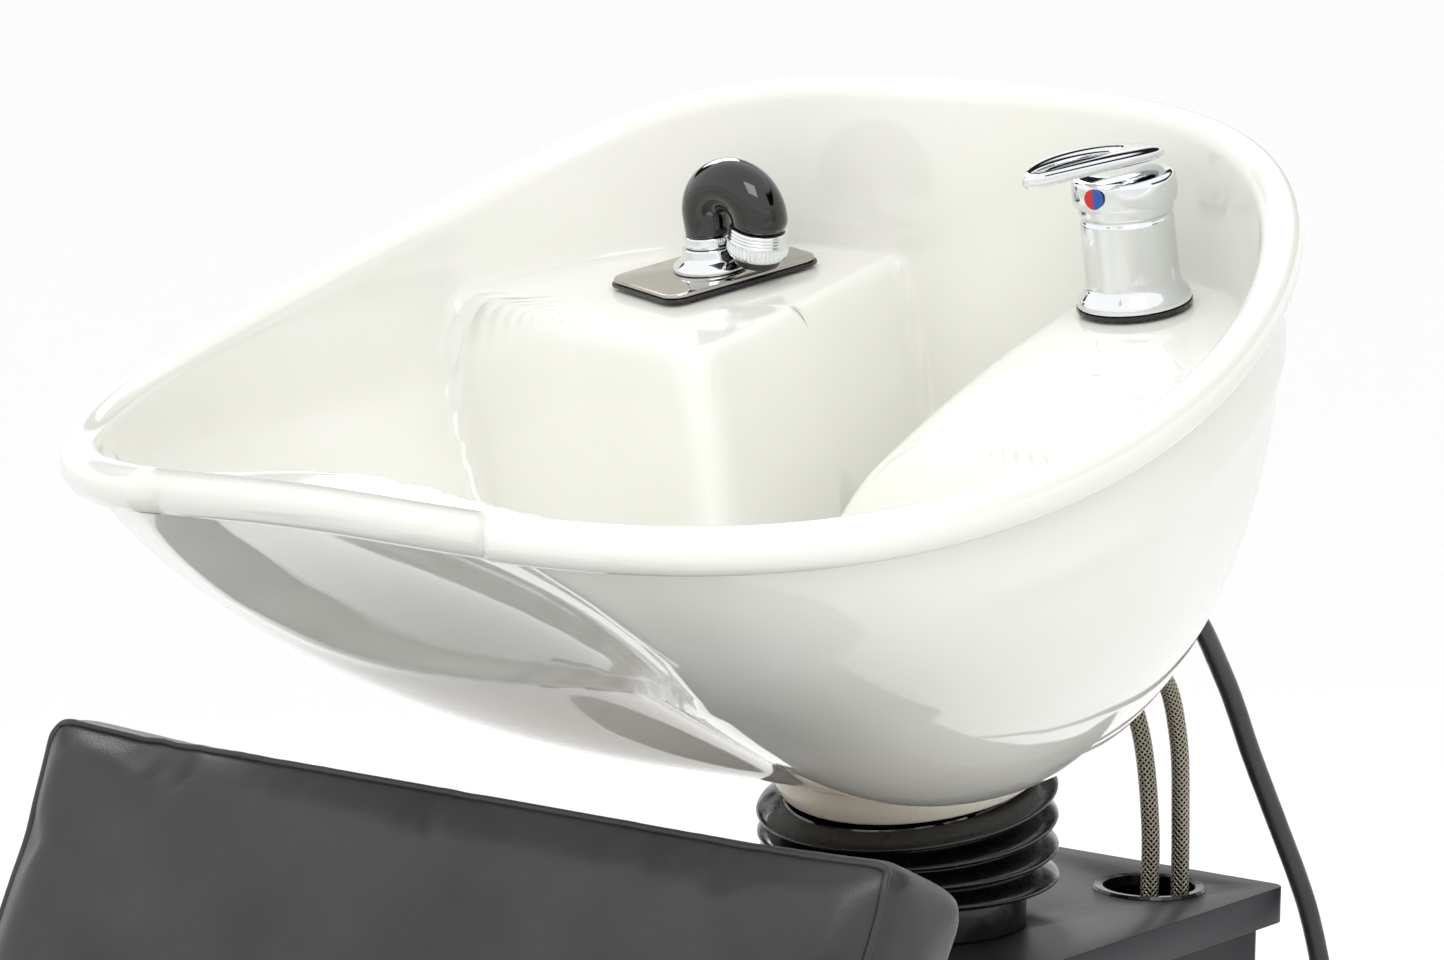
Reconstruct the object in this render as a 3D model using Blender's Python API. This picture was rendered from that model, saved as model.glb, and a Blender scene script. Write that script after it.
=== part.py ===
"""Shampoo backwash unit: a tilting ceramic wash bowl on a steel cabinet, with a reclined salon chair in front.

Metres, +Z up. The chair faces -Y, the back of the bowl is at +Y and the unit is symmetric about X = 0.
The origin is on the floor, on the centre line of the column that carries the bowl.
"""

import math

import bmesh
import bpy
import numpy as np
from mathutils import Euler, Vector

GAP = 0.0003

# Bowl, in its own frame: x across, v towards its back, n along its normal, from the tilt pivot.
TILT = math.radians(12.0)
PIVOT_Z = 0.615
RIM_X = (0.273, -0.005, -0.0065, -0.0075)
RIM_V = (-0.143, -0.300, -0.0135, 0.027, 0.002)
RIM_N = (0.319, -0.027, 0.0215, 0.005, -0.002)
ROLL_RADIUS = 0.0115
FOOT_RADIUS = 0.075
FOOT_V = 0.006
FOOT_N = 0.040
DRAIN_RADIUS = 0.022
DECK_N = 0.278
CHANNEL_HALF = 0.045
TAP_PAD_X, TAP_PAD_V = 0.102, 0.014
TAP_PAD_SOFTNESS = 0.035
BASIN_N = 0.085
WALL_THICKNESS = 0.024

# Tap and spray dock, in the bowl's frame.
TAP_X, TAP_V = 0.138, 0.050
DOCK_X, DOCK_V = -0.119, 0.037
PLATE_TURN = math.radians(-20.0)

# Column and bellows.
COLUMN_RADIUS = 0.045
COLUMN_BORE = 0.038
BELLOWS_FOLD_RADIUS = 0.080
BELLOWS_NECK_RADIUS = 0.070
EAR_HALF_WIDTH = 0.018

# Cabinet.
LID_HALF_WIDTH = 0.114
LID_BACK = 0.1995
LID_FRONT = -0.200
LID_TOP = 0.560
LID_SKIRT = 0.020
SHEET = 0.003
WALL_INSET = 0.010
HOSE_HOLE = (0.060, 0.1435)
HOSE_HOLE_RADIUS = 0.0285
BASE_THICKNESS = 0.008
DOOR_FRONT, DOOR_BACK, DOOR_LOW, DOOR_HIGH = -0.110, 0.150, 0.070, 0.490
VALVE_X = {"hot": 0.080, "cold": 0.040}
VALVE_Y, VALVE_Z = 0.135, 0.250

# Chair.
BACK_RECLINE = math.radians(25.0)
BACK_TOP_Y, BACK_TOP_Z = -0.380, 0.708
BACK_WIDTH, BACK_LENGTH, BACK_THICKNESS = 0.540, 0.360, 0.080
SEAT_FRONT, SEAT_REAR = -1.000, -0.541
SEAT_HALF = 0.262
SEAT_TOP, SEAT_THICKNESS = 0.410, 0.092
PAN_HALF = 0.277
PAN_TOP, PAN_THICKNESS = 0.305, 0.020
BOARD = 0.012
ARM_X, ARM_TOP, ARM_TUBE = 0.290, 0.560, 0.0125

HOSE_RADIUS = 0.005
SPRAY_HOSE_RADIUS = 0.0055

# Spray elbow.
ELBOW_TURN = math.radians(194.0)
ELBOW_RADIUS = 0.0175
ELBOW_FOOT = 0.0063
ELBOW_RISE = 0.010

# Where each hose meets the hull: angle round the bowl, drop from rim to foot, and the fitting's radius.
INLETS = {
    "hot_inlet_nut": (2.640, 0.905, 0.0085),
    "cold_inlet_nut": (2.800, 0.925, 0.0085),
    "mixer_outlet_nut": (2.561, 0.800, 0.0100),
    "spray_inlet_nut": (-2.561, 0.800, 0.0100),
}
FITTING_LENGTH = 0.018
FITTING_CLEARANCE = 0.0010
HOSE_LEAD = 0.014
HOSE_GAP = 0.0012
HOSE_ROUTES = {
    "hot": [
        (0.0785, 0.1245, 0.6805),
        (0.0785, 0.1400, 0.646),
        (0.0775, 0.1460, 0.600),
        (0.0770, 0.1480, 0.558),
        (0.0775, 0.1480, 0.500),
        (0.0795, 0.1410, 0.400),
    ],
    "cold": [
        (0.0500, 0.1250, 0.6800),
        (0.0560, 0.1370, 0.648),
        (0.0630, 0.1380, 0.600),
        (0.0650, 0.1360, 0.558),
        (0.0610, 0.1370, 0.500),
        (0.0470, 0.1370, 0.400),
    ],
}

SPRAY_ROUTE = [
    (0.1070, 0.1400, 0.682),
    (0.1100, 0.1650, 0.637),
    (0.1150, 0.1870, 0.595),
    (0.1205, 0.2020, 0.562),
    (0.1250, 0.2080, 0.540),
    (0.131, 0.214, 0.500),
    (0.133, 0.220, 0.420),
    (0.128, 0.224, 0.330),
    (0.108, 0.226, 0.240),
    (0.066, 0.228, 0.175),
    (0.005, 0.229, 0.152),
    (-0.052, 0.228, 0.176),
    (-0.090, 0.226, 0.245),
    (-0.106, 0.222, 0.340),
    (-0.112, 0.217, 0.450),
    (-0.114, 0.209, 0.545),
    (-0.113, 0.187, 0.600),
    (-0.110, 0.150, 0.668),
]


def clear_scene():
    for obj in list(bpy.data.objects):
        bpy.data.objects.remove(obj, do_unlink=True)


def material(name, colour, roughness, metallic=0.0):
    """A Principled material, made once for each name."""
    found = bpy.data.materials.get(name)
    if found:
        return found
    made = bpy.data.materials.new(name)
    made.use_nodes = True
    shader = made.node_tree.nodes["Principled BSDF"]
    shader.inputs["Base Color"].default_value = (*colour, 1.0)
    shader.inputs["Roughness"].default_value = roughness
    shader.inputs["Metallic"].default_value = metallic
    return made


def ceramic():
    return material("white_glazed_ceramic", (0.86, 0.86, 0.84), 0.08)


def chrome():
    return material("chrome", (0.80, 0.81, 0.83), 0.06, 1.0)


def steel():
    return material("brushed_steel", (0.62, 0.63, 0.65), 0.30, 1.0)


def black_steel():
    return material("black_powder_coat", (0.020, 0.020, 0.022), 0.35)


def black_rubber():
    return material("black_rubber", (0.012, 0.012, 0.013), 0.30)


def black_plastic():
    return material("black_gloss_plastic", (0.010, 0.010, 0.010), 0.10)


def cream_plastic():
    return material("cream_plastic", (0.78, 0.76, 0.70), 0.35)


def brass():
    return material("brass", (0.70, 0.52, 0.25), 0.30, 1.0)


def leatherette():
    return material("charcoal_leatherette", (0.035, 0.036, 0.040), 0.45)


def plywood():
    return material("plywood", (0.52, 0.38, 0.24), 0.60)


def braid():
    return material("braided_steel", (0.55, 0.55, 0.56), 0.35, 1.0)


def empty(name, location, parent=None, rotation=(0.0, 0.0, 0.0)):
    obj = bpy.data.objects.new(name, None)
    obj.location = location
    obj.rotation_euler = rotation
    obj.parent = parent
    bpy.context.scene.collection.objects.link(obj)
    return obj


def add_object(
    name, bm, finish, parent=None, location=(0.0, 0.0, 0.0), rotation=(0.0, 0.0, 0.0), smooth=True
):
    """Turns a bmesh into a named object at a place under its parent."""
    mesh = bpy.data.meshes.new(name)
    bmesh.ops.recalc_face_normals(bm, faces=bm.faces)
    bm.to_mesh(mesh)
    bm.free()
    mesh.materials.append(finish)
    if smooth:
        mesh.shade_smooth()
        mesh.set_sharp_from_angle(angle=math.radians(35.0))
    obj = bpy.data.objects.new(name, mesh)
    obj.location = location
    obj.rotation_euler = rotation
    obj.parent = parent
    bpy.context.scene.collection.objects.link(obj)
    return obj


def cut(obj, cutter):
    """Takes the cutter's shape out of the object. The cutter stays as a hidden guide."""
    cutter.hide_render = True
    cutter.display_type = "WIRE"
    modifier = obj.modifiers.new("cut_" + cutter.name, "BOOLEAN")
    modifier.operation = "DIFFERENCE"
    modifier.solver = "EXACT"
    modifier.object = cutter


def block(size, centre=(0.0, 0.0, 0.0), bevel=0.0, segments=2):
    """A box with its edges rounded by bevel."""
    bm = bmesh.new()
    bmesh.ops.create_cube(bm, size=1.0)
    bmesh.ops.scale(bm, vec=size, verts=bm.verts)
    bmesh.ops.translate(bm, vec=centre, verts=bm.verts)
    if bevel:
        bmesh.ops.bevel(
            bm,
            geom=list(bm.edges),
            offset=bevel,
            segments=segments,
            profile=0.5,
            affect="EDGES",
            clamp_overlap=True,
        )
    return bm


def prism(outline, low, high):
    """An outline in the XY plane, extruded from low to high."""
    bm = bmesh.new()
    face = bm.faces.new([bm.verts.new((x, y, low)) for x, y in outline])
    made = bmesh.ops.extrude_face_region(bm, geom=[face])
    raised = [item for item in made["geom"] if isinstance(item, bmesh.types.BMVert)]
    bmesh.ops.translate(bm, vec=(0.0, 0.0, high - low), verts=raised)
    return bm


def rounded_rectangle(x_low, x_high, y_low, y_high, radius, steps=4):
    """The outline of a rectangle with round corners, anticlockwise."""
    corners = (
        (x_high - radius, y_high - radius, 0.0),
        (x_low + radius, y_high - radius, 0.5 * math.pi),
        (x_low + radius, y_low + radius, math.pi),
        (x_high - radius, y_low + radius, 1.5 * math.pi),
    )
    points = []
    for x, y, start in corners:
        for step in range(steps + 1):
            angle = start + 0.5 * math.pi * step / steps
            points.append((x + radius * math.cos(angle), y + radius * math.sin(angle)))
    return points


def circle(radius, steps, x=0.0, y=0.0):
    angles = [2.0 * math.pi * step / steps for step in range(steps)]
    return [(x + radius * math.cos(angle), y + radius * math.sin(angle)) for angle in angles]


def turned(profile, steps=24, closed=True):
    """A profile of (radius, height) points turned about Z. A closed profile makes a ring, an open one runs
    from axis to axis."""
    bm = bmesh.new()
    rings = []
    for radius, height in profile:
        if radius == 0.0:
            rings.append([bm.verts.new((0.0, 0.0, height))])
            continue
        rings.append([bm.verts.new((x, y, height)) for x, y in circle(radius, steps)])
    pairs = list(zip(rings, rings[1:]))
    if closed:
        pairs.append((rings[-1], rings[0]))
    for lower, upper in pairs:
        for step in range(steps):
            after = (step + 1) % steps
            corners = [
                lower[step % len(lower)],
                lower[after % len(lower)],
                upper[after % len(upper)],
                upper[step % len(upper)],
            ]
            unique = list(dict.fromkeys(corners))
            if len(unique) > 2:
                bm.faces.new(unique)
    return bm


def ring(inner, outer, low, high, steps=24):
    return turned([(inner, low), (outer, low), (outer, high), (inner, high)], steps)


def disc(radius, low, high, steps=24, round_off=0.0):
    """A solid disc, its upper edge rounded off."""
    if not round_off:
        return turned([(0.0, low), (radius, low), (radius, high), (0.0, high)], steps, closed=False)
    edge = []
    for turn in (0.0, 0.785, 1.571):
        inward, downward = 1.0 - math.cos(turn), 1.0 - math.sin(turn)
        edge.append((radius - round_off * inward, high - round_off * downward))
    return turned([(0.0, low), (radius, low), *edge, (0.0, high)], steps, closed=False)


def grid_surface(points):
    """A closed skin from an array of rings: points[ring][step], the last ring joined to the first."""
    bm = bmesh.new()
    count, steps = points.shape[:2]
    verts = [[bm.verts.new(points[i, j]) for j in range(steps)] for i in range(count)]
    for i in range(count):
        upper = verts[(i + 1) % count]
        for j in range(steps):
            after = (j + 1) % steps
            bm.faces.new((verts[i][j], verts[i][after], upper[after], upper[j]))
    return bm


def through_points(points, spacing):
    """Evenly spaced points on a smooth curve (centripetal Catmull-Rom) through hand-chosen points."""
    p = np.array(points, float)
    p = np.vstack([2.0 * p[0] - p[1], p, 2.0 * p[-1] - p[-2]])
    fine = []
    for a, b, c, d in zip(p, p[1:], p[2:], p[3:]):
        knots = np.cumsum([0.0, *[math.sqrt(np.linalg.norm(w - v)) for v, w in ((a, b), (b, c), (c, d))]])
        for t in np.linspace(knots[1], knots[2], 24, endpoint=False):
            ab = ((knots[1] - t) * a + (t - knots[0]) * b) / (knots[1] - knots[0])
            bc = ((knots[2] - t) * b + (t - knots[1]) * c) / (knots[2] - knots[1])
            cd = ((knots[3] - t) * c + (t - knots[2]) * d) / (knots[3] - knots[2])
            abc = ((knots[2] - t) * ab + (t - knots[0]) * bc) / (knots[2] - knots[0])
            bcd = ((knots[3] - t) * bc + (t - knots[1]) * cd) / (knots[3] - knots[1])
            fine.append(((knots[2] - t) * abc + (t - knots[1]) * bcd) / (knots[2] - knots[1]))
    fine = np.array([*fine, p[-2]])
    along = np.concatenate([[0.0], np.cumsum(np.linalg.norm(np.diff(fine, axis=0), axis=1))])
    count = max(3, int(round(along[-1] / spacing)) + 1)
    even = np.linspace(0.0, along[-1], count)
    return np.column_stack([np.interp(even, along, fine[:, axis]) for axis in range(3)])


def tube(name, points, radius, finish, resolution=2, parent=None):
    """A round bar along a POLY curve with filled caps."""
    curve = bpy.data.curves.new(name, "CURVE")
    curve.dimensions = "3D"
    curve.bevel_depth = radius
    curve.bevel_resolution = resolution
    curve.use_fill_caps = True
    spline = curve.splines.new("POLY")
    spline.points.add(len(points) - 1)
    for point, place in zip(spline.points, points):
        point.co = (*place, 1.0)
    curve.materials.append(finish)
    obj = bpy.data.objects.new(name, curve)
    obj.parent = parent
    bpy.context.scene.collection.objects.link(obj)
    return obj


# ---------------------------------------------------------------- bowl


def waves(coefficients, angle, first, wave):
    return sum(c * wave((k + first) * angle) for k, c in enumerate(coefficients))


def rim(angle):
    """Centre line of the rolled rim. The angle runs from the neck rest (0) over the sitter's left side."""
    return (
        waves(RIM_X, angle, 1, np.sin),
        waves(RIM_V, angle, 0, np.cos),
        waves(RIM_N, angle, 0, np.cos),
    )


def front_share(angle, width):
    """1 at the neck rest, falling to 0 round the sides."""
    turned_in = (angle + math.pi) % (2.0 * math.pi) - math.pi
    return np.exp(-((turned_in / width) ** 2))


def hull(angle, drop):
    """Outer skin, from drop 0 at the rim to 1 at the foot: full round sides and a slanting front with a scoop."""
    x, v, n = rim(angle)
    foot_x = FOOT_RADIUS * np.sin(angle)
    foot_v = FOOT_V - FOOT_RADIUS * np.cos(angle)
    front = front_share(angle, 0.9)
    power = 1.9 - 0.75 * front
    root = 1.5 - 0.40 * front
    reach = (1.0 - drop**power) ** (1.0 / root) - 0.075 * front * np.sin(math.pi * drop)
    return foot_x + (x - foot_x) * reach, foot_v + (v - foot_v) * reach, n - (n - FOOT_N) * drop


def smooth_max(a, b, blend):
    return np.maximum(a, b) + np.maximum(blend - np.abs(a - b), 0.0) ** 2 / (4.0 * blend)


def inner_skin(angle, share):
    """Inner skin. Share runs from 1 at the rim's inner edge to 0 at the drain.

    The height is the highest of the wall that falls from the rim, the basin, the two decks and a floor
    that keeps the ceramic's thickness over the hull, each blended into the next. The dock's deck ends in a
    steep step, and the tap's falls softly towards the basin.
    """
    x, v, n = rim(angle)
    length = np.hypot(x, v - FOOT_V)
    inner = 1.0 - ROLL_RADIUS / length
    inner_x, inner_v = x * inner, FOOT_V + (v - FOOT_V) * inner
    end_x, end_v = DRAIN_RADIUS * np.sin(angle), FOOT_V - DRAIN_RADIUS * np.cos(angle)
    px = end_x + (inner_x - end_x) * share
    pv = end_v + (inner_v - end_v) * share
    from_edge = np.hypot(inner_x - px, inner_v - pv)
    steepness = 8.0 - 7.35 * front_share(angle, 0.8)
    height = n - steepness * from_edge
    basin = BASIN_N + 0.75 * (np.hypot(px, pv - FOOT_V) - DRAIN_RADIUS) ** 2
    dock_side = np.maximum(np.maximum(px + CHANNEL_HALF, -0.090 - 0.27 * px - pv), 0.0)
    tap_ahead = 0.22 * (TAP_PAD_V - pv) + np.maximum(-0.115 - pv, 0.0)
    tap_side = np.maximum(smooth_max(TAP_PAD_X - px, tap_ahead, 0.030), 0.0)
    dock_deck = DECK_N - 6.0 * dock_side
    tap_deck = DECK_N - 3.4 * (np.hypot(tap_side, TAP_PAD_SOFTNESS) - TAP_PAD_SOFTNESS)
    deck = np.maximum(dock_deck, tap_deck)
    away = np.clip((np.hypot(px, pv - FOOT_V) - FOOT_RADIUS) / (length - FOOT_RADIUS), 0.0, 1.0)
    front = front_share(angle, 0.9)
    power, root = 1.9 - 0.75 * front, 1.5 - 0.40 * front
    drop = (1.0 - np.clip(away + 0.075 * front, 0.0, 1.0) ** root) ** (1.0 / power)
    over_hull = n - (n - FOOT_N) * drop + WALL_THICKNESS
    height = smooth_max(height, basin, 0.030)
    height = smooth_max(height, over_hull, 0.010)
    height = smooth_max(height, deck, 0.008)
    return px, pv, np.minimum(height, n)


def bowl_skin(steps=64, inner_rings=17, outer_rings=8):
    """Rings of the whole bowl: up the inside from the drain, over the rim, down the hull and under the foot."""
    angle = np.linspace(0.0, 2.0 * math.pi, steps, endpoint=False)
    x, v, n = rim(angle)
    length = np.hypot(x, v - FOOT_V)
    out_x, out_v = x / length, (v - FOOT_V) / length
    rings = []
    for share in np.linspace(0.0, 1.0, inner_rings) ** 0.85:
        px, pv, height = inner_skin(angle, share)
        rings.append((px, pv, height if share < 1.0 else n))
    for turn in np.radians((135.0, 90.0, 45.0, 0.0, -45.0)):
        out = ROLL_RADIUS * math.cos(turn)
        rings.append((x + out * out_x, v + out * out_v, n + ROLL_RADIUS * math.sin(turn)))
    for drop in np.linspace(0.0, 1.0, outer_rings + 1)[1:] ** 0.8:
        rings.append(hull(angle, np.minimum(drop + 0.0 * angle, 1.0)))
    rings.append((DRAIN_RADIUS * np.sin(angle), FOOT_V - DRAIN_RADIUS * np.cos(angle), FOOT_N + 0.0 * angle))
    return np.array([np.stack(ring_points, axis=-1) for ring_points in rings])


def make_bowl(frame):
    add_object("bowl", grid_surface(bowl_skin()), ceramic(), frame)
    foot = turned(
        [(0.062, 0.022), (0.070, 0.022), (0.074, 0.028), (0.074, FOOT_N - GAP), (0.062, FOOT_N - GAP)]
    )
    add_object("foot_ring", foot, cream_plastic(), frame, (0.0, FOOT_V, 0.0))


def make_drain(frame):
    body = turned([(0.013, 0.002), (0.0200, 0.002), (0.0200, BASIN_N - 0.004), (0.013, BASIN_N - 0.004)])
    add_object("drain_body", body, chrome(), frame, (0.0, FOOT_V, 0.0))
    strainer = disc(0.0190, BASIN_N - 0.0037, BASIN_N + 0.001, 24, 0.002)
    lifted = empty("strainer_axis", (0.0, FOOT_V, 0.0), frame)
    add_object("drain_strainer", strainer, steel(), lifted)
    boot = turned(
        [
            (0.0165, -0.035),
            (0.0200, -0.035),
            (0.0200, -0.022),
            (0.0275, -0.018),
            (0.0275, -0.004),
            (0.0245, -0.004),
            (0.0245, -0.017),
            (0.0165, -0.020),
        ]
    )
    add_object("waste_boot", boot, black_rubber(), None, (0.0, FOOT_V, PIVOT_Z))
    route = through_points(
        [
            (0.0, FOOT_V, PIVOT_Z - 0.0350),
            (0.0, 0.005, 0.50),
            (0.0, 0.004, 0.32),
            (0.0, 0.006, 0.17),
            (0.0, 0.022, 0.115),
            (0.0, 0.060, 0.095),
            (0.0, 0.110, 0.090),
            (0.0, 0.150, 0.090),
        ],
        0.030,
    )
    route[0, 2] -= GAP
    tube("waste_pipe", route, 0.0160, cream_plastic(), 3)


# ---------------------------------------------------------------- tap


def make_tap(frame):
    """Single-lever mixer on the right deck: the hub turns for temperature and the lever lifts for flow."""
    foot_n = DECK_N + 0.002
    gasket = ring(0.014, 0.0295, foot_n, foot_n + 0.0020, 28)
    add_object("tap_gasket", gasket, black_rubber(), frame, (TAP_X, TAP_V, 0.0))
    base = foot_n + 0.0020 + GAP
    body = turned(
        [
            (0.0, base),
            (0.0290, base),
            (0.0290, base + 0.005),
            (0.0255, base + 0.008),
            (0.0240, base + 0.010),
            (0.0236, base + 0.052),
            (0.0, base + 0.052),
        ],
        28,
        closed=False,
    )
    add_object("tap_body", body, chrome(), frame, (TAP_X, TAP_V, 0.0))
    stem_low = base + 0.052 + GAP
    turning = empty("tap_axis", (TAP_X, TAP_V, stem_low), frame)
    hub = turned(
        [(0.0, 0.0), (0.0262, 0.0), (0.0268, 0.004), (0.0262, 0.0150), (0.0, 0.0150)], 28, closed=False
    )
    add_object("lever_hub", hub, chrome(), turning)
    mark = disc(0.0052, 0.0, 0.0016, 16)
    add_object(
        "temperature_mark",
        mark,
        material("red_blue_mark", (0.55, 0.03, 0.04), 0.3),
        turning,
        (0.0, -0.0271, 0.0082),
        (math.radians(90.0), 0.0, 0.0),
    )
    lifting = empty("lever_axis", (0.0, 0.026, 0.0170), turning)
    add_object("tap_lever", lever_loop(), chrome(), lifting)


def lever_loop(steps=32):
    """A flat loop with a long slot: wide over the hub, narrowing and rising in an arch to its tip at -Y."""
    angle = np.linspace(0.0, 2.0 * math.pi, steps, endpoint=False)
    along = -0.054 + 0.057 * np.cos(angle)
    half = 0.0245 - 0.0120 * np.clip(-along / 0.111, 0.0, 1.0)
    outer_x = half * np.sin(angle)
    slot_y = -0.066 + 0.036 * np.cos(angle)
    slot_x = 0.0075 * np.sin(angle)

    def arch(y):
        ahead = 0.003 - y
        return -0.0015 + 0.21 * ahead - 0.85 * ahead**2

    rings = []
    for x, y, lift in (
        (outer_x, along, 0.0), (outer_x, along, 0.0065), (slot_x, slot_y, 0.0075), (slot_x, slot_y, 0.0005)
    ):
        rings.append(np.stack([x, y, arch(y) + lift], axis=-1))
    return grid_surface(np.array(rings))


# ---------------------------------------------------------------- spray dock


def make_spray(frame):
    """Pull-out spray in its dock on the left deck."""
    low = DECK_N + 0.002
    gasket = prism(rounded_rectangle(-0.0335, 0.0335, -0.0485, 0.0485, 0.010), low, low + 0.0020)
    plate = prism(
        rounded_rectangle(-0.0325, 0.0325, -0.0475, 0.0475, 0.009), low + 0.0020 + GAP, low + 0.0045
    )
    for name, bm, finish in (("deck_gasket", gasket, black_rubber()), ("deck_plate", plate, steel())):
        add_object(name, bm, finish, frame, (DOCK_X, DOCK_V + 0.001, 0.0), (0.0, 0.0, PLATE_TURN))
    base = low + 0.0045 + GAP
    flange = turned(
        [
            (0.0, base),
            (0.0212, base),
            (0.0205, base + 0.003),
            (0.0160, base + 0.0055),
            (0.0150, base + 0.012),
            (0.0, base + 0.012),
        ],
        24,
        closed=False,
    )
    add_object("dock_flange", flange, chrome(), frame, (DOCK_X, DOCK_V, 0.0))
    pulled = empty("spray_axis", (DOCK_X, DOCK_V, base + 0.012 + GAP), frame)
    collar_ring = disc(0.0136, 0.0, 0.0060, 24)
    add_object("spray_neck_ring", collar_ring, chrome(), pulled)
    add_object("spray_body", elbow(), black_plastic(), pulled)
    twist = empty("spray_collar_axis", elbow_end(), pulled, (0.0, ELBOW_TURN, 0.0))
    knurled = turned(
        [(0.0, 0.0), (0.0154, 0.0), (0.0163, 0.0015), (0.0163, 0.0140), (0.0152, 0.0155), (0.0, 0.0155)],
        32,
        closed=False,
    )
    add_object("spray_collar", knurled, chrome(), twist)
    nozzle = turned([(0.0, 0.0158), (0.0130, 0.0158), (0.0122, 0.0205), (0.0, 0.0205)], 24, closed=False)
    add_object("spray_nozzle", nozzle, black_rubber(), twist)


def elbow_end():
    """Face of the elbow's mouth, in the pulled body's frame."""
    end = ELBOW_TURN - math.pi
    x = ELBOW_RADIUS - ELBOW_RADIUS * math.cos(math.pi + end) + GAP * math.sin(end)
    z = ELBOW_FOOT + ELBOW_RISE + ELBOW_RADIUS * math.sin(math.pi + end)
    return (x, 0.0, z - GAP)


def elbow(steps=20, bends=10):
    """A bent tube: up from the neck and over towards +X, swelling from neck to mouth."""
    angle = np.linspace(0.0, 2.0 * math.pi, steps, endpoint=False)
    rings = []
    stations = [(0.0, -ELBOW_RISE), (0.0, -0.5 * ELBOW_RISE)] + [
        (ELBOW_TURN * k / bends, 0.0) for k in range(bends + 1)
    ]
    for index, (turn, below) in enumerate(stations):
        share = index / (len(stations) - 1)
        radius = 0.0124 + 0.0026 * math.sin(0.5 * math.pi * share)
        centre_x = ELBOW_RADIUS - ELBOW_RADIUS * math.cos(turn)
        centre_z = ELBOW_FOOT + ELBOW_RISE + below + ELBOW_RADIUS * math.sin(turn)
        across = radius * np.cos(angle)
        reach = centre_x + across * math.cos(turn)
        rings.append(np.stack([reach, radius * np.sin(angle), centre_z - across * math.sin(turn)], axis=-1))
    bm = bmesh.new()
    verts = [[bm.verts.new(point) for point in ring_points] for ring_points in rings]
    for lower, upper in zip(verts, verts[1:]):
        for j in range(steps):
            after = (j + 1) % steps
            bm.faces.new((lower[j], lower[after], upper[after], upper[j]))
    bm.faces.new(verts[0][::-1])
    bm.faces.new(verts[-1])
    return bm


# ---------------------------------------------------------------- tilt joint and bellows


def ear(width, low, high, thickness):
    """An upright plate with a bolt hole at height 0, from low to high. Its flat faces look along X."""
    bm = prism(
        [(low, -width), (0.0, -width), (high, -0.6 * width), (high, 0.6 * width), (0.0, width), (low, width)],
        -0.5 * thickness,
        0.5 * thickness,
    )
    return bm


def upright(name, low, high, x, thickness, finish, parent, width):
    """An ear standing up or hanging down at x, with its bolt hole cut."""
    turn = (0.0, math.radians(-90.0), 0.0)
    obj = add_object(
        name, ear(width, low, high, thickness), finish, parent, (x, 0.0, 0.0), turn, smooth=False
    )
    hole = add_object(
        name + "_bore",
        disc(0.0062, -0.01, 0.01, 20),
        finish,
        parent,
        (x, 0.0, 0.0),
        (0.0, math.radians(90.0), 0.0),
    )
    cut(obj, hole)
    return obj


def make_tilt(frame):
    pivot = empty("tilt_pivot", (0.0, 0.0, PIVOT_Z))
    column = add_object(
        "column_tube", ring(COLUMN_BORE, COLUMN_RADIUS, BASE_THICKNESS + GAP, 0.5627, 32), black_steel()
    )
    outlet = add_object(
        "column_outlet",
        disc(0.0260, 0.0, 0.10, 24),
        black_steel(),
        None,
        (0.0, 0.0, 0.1000),
        (math.radians(-90.0), 0.0, 0.0),
    )
    cut(column, outlet)
    add_object("column_flange", ring(0.030, 0.0620, 0.5630, 0.5690, 32), black_steel())
    floor_gap = 0.5690 + GAP - PIVOT_Z
    top_of_ear = 0.0277
    for side, name in ((-1, "right"), (1, "left")):
        upright(
            f"yoke_ear_{name}",
            floor_gap,
            EAR_HALF_WIDTH,
            side * 0.0535,
            0.0060,
            black_steel(),
            pivot,
            EAR_HALF_WIDTH,
        )
        upright(f"cradle_ear_{name}", -0.0170, top_of_ear, side * 0.0470, 0.0060, steel(), frame, 0.016)
        shaft = turned(
            [
                (0.0, 0.0380),
                (0.0060, 0.0380),
                (0.0060, 0.0568),
                (0.0105, 0.0568),
                (0.0105, 0.0625),
                (0.0, 0.0625),
            ],
            18,
            closed=False,
        )
        add_object(
            f"tilt_bolt_{name}", shaft, steel(), pivot, (0.0, 0.0, 0.0), (0.0, side * math.radians(90.0), 0.0)
        )
    cradle = ring(0.0240, 0.0605, 0.0280, 0.0340, 32)
    add_object("cradle_plate", cradle, steel(), frame, (0.0, FOOT_V, 0.0))


def make_bellows():
    """Rubber gaiter between the lid and the bowl's foot: a plain neck and four folds that tilt with the bowl."""
    steps = 40
    angle = np.linspace(0.0, 2.0 * math.pi, steps, endpoint=False)
    neck, fold = BELLOWS_NECK_RADIUS, BELLOWS_FOLD_RADIUS
    low = LID_TOP + GAP
    outside = [
        (neck, low),
        (neck, 0.588),
        (fold, 0.594),
        (neck + 0.001, 0.600),
        (fold, 0.607),
        (neck + 0.001, 0.613),
        (fold, 0.620),
        (neck + 0.001, 0.626),
        (fold, 0.632),
        (neck, 0.6355),
    ]
    top = 0.6355
    rings = []
    for radius, height in outside + [(radius - 0.0035, height) for radius, height in reversed(outside)]:
        share = max(0.0, (height - 0.590) / (top - 0.590))
        lean = math.tan(TILT) * share * radius * np.sin(angle)
        x, y = radius * np.cos(angle), radius * np.sin(angle) - 0.004 * share
        rings.append(np.stack([x, y, height + lean - 0.0005 * share], axis=-1))
    add_object("bellows", grid_surface(np.array(rings)), black_rubber())


# ---------------------------------------------------------------- cabinet


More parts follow.
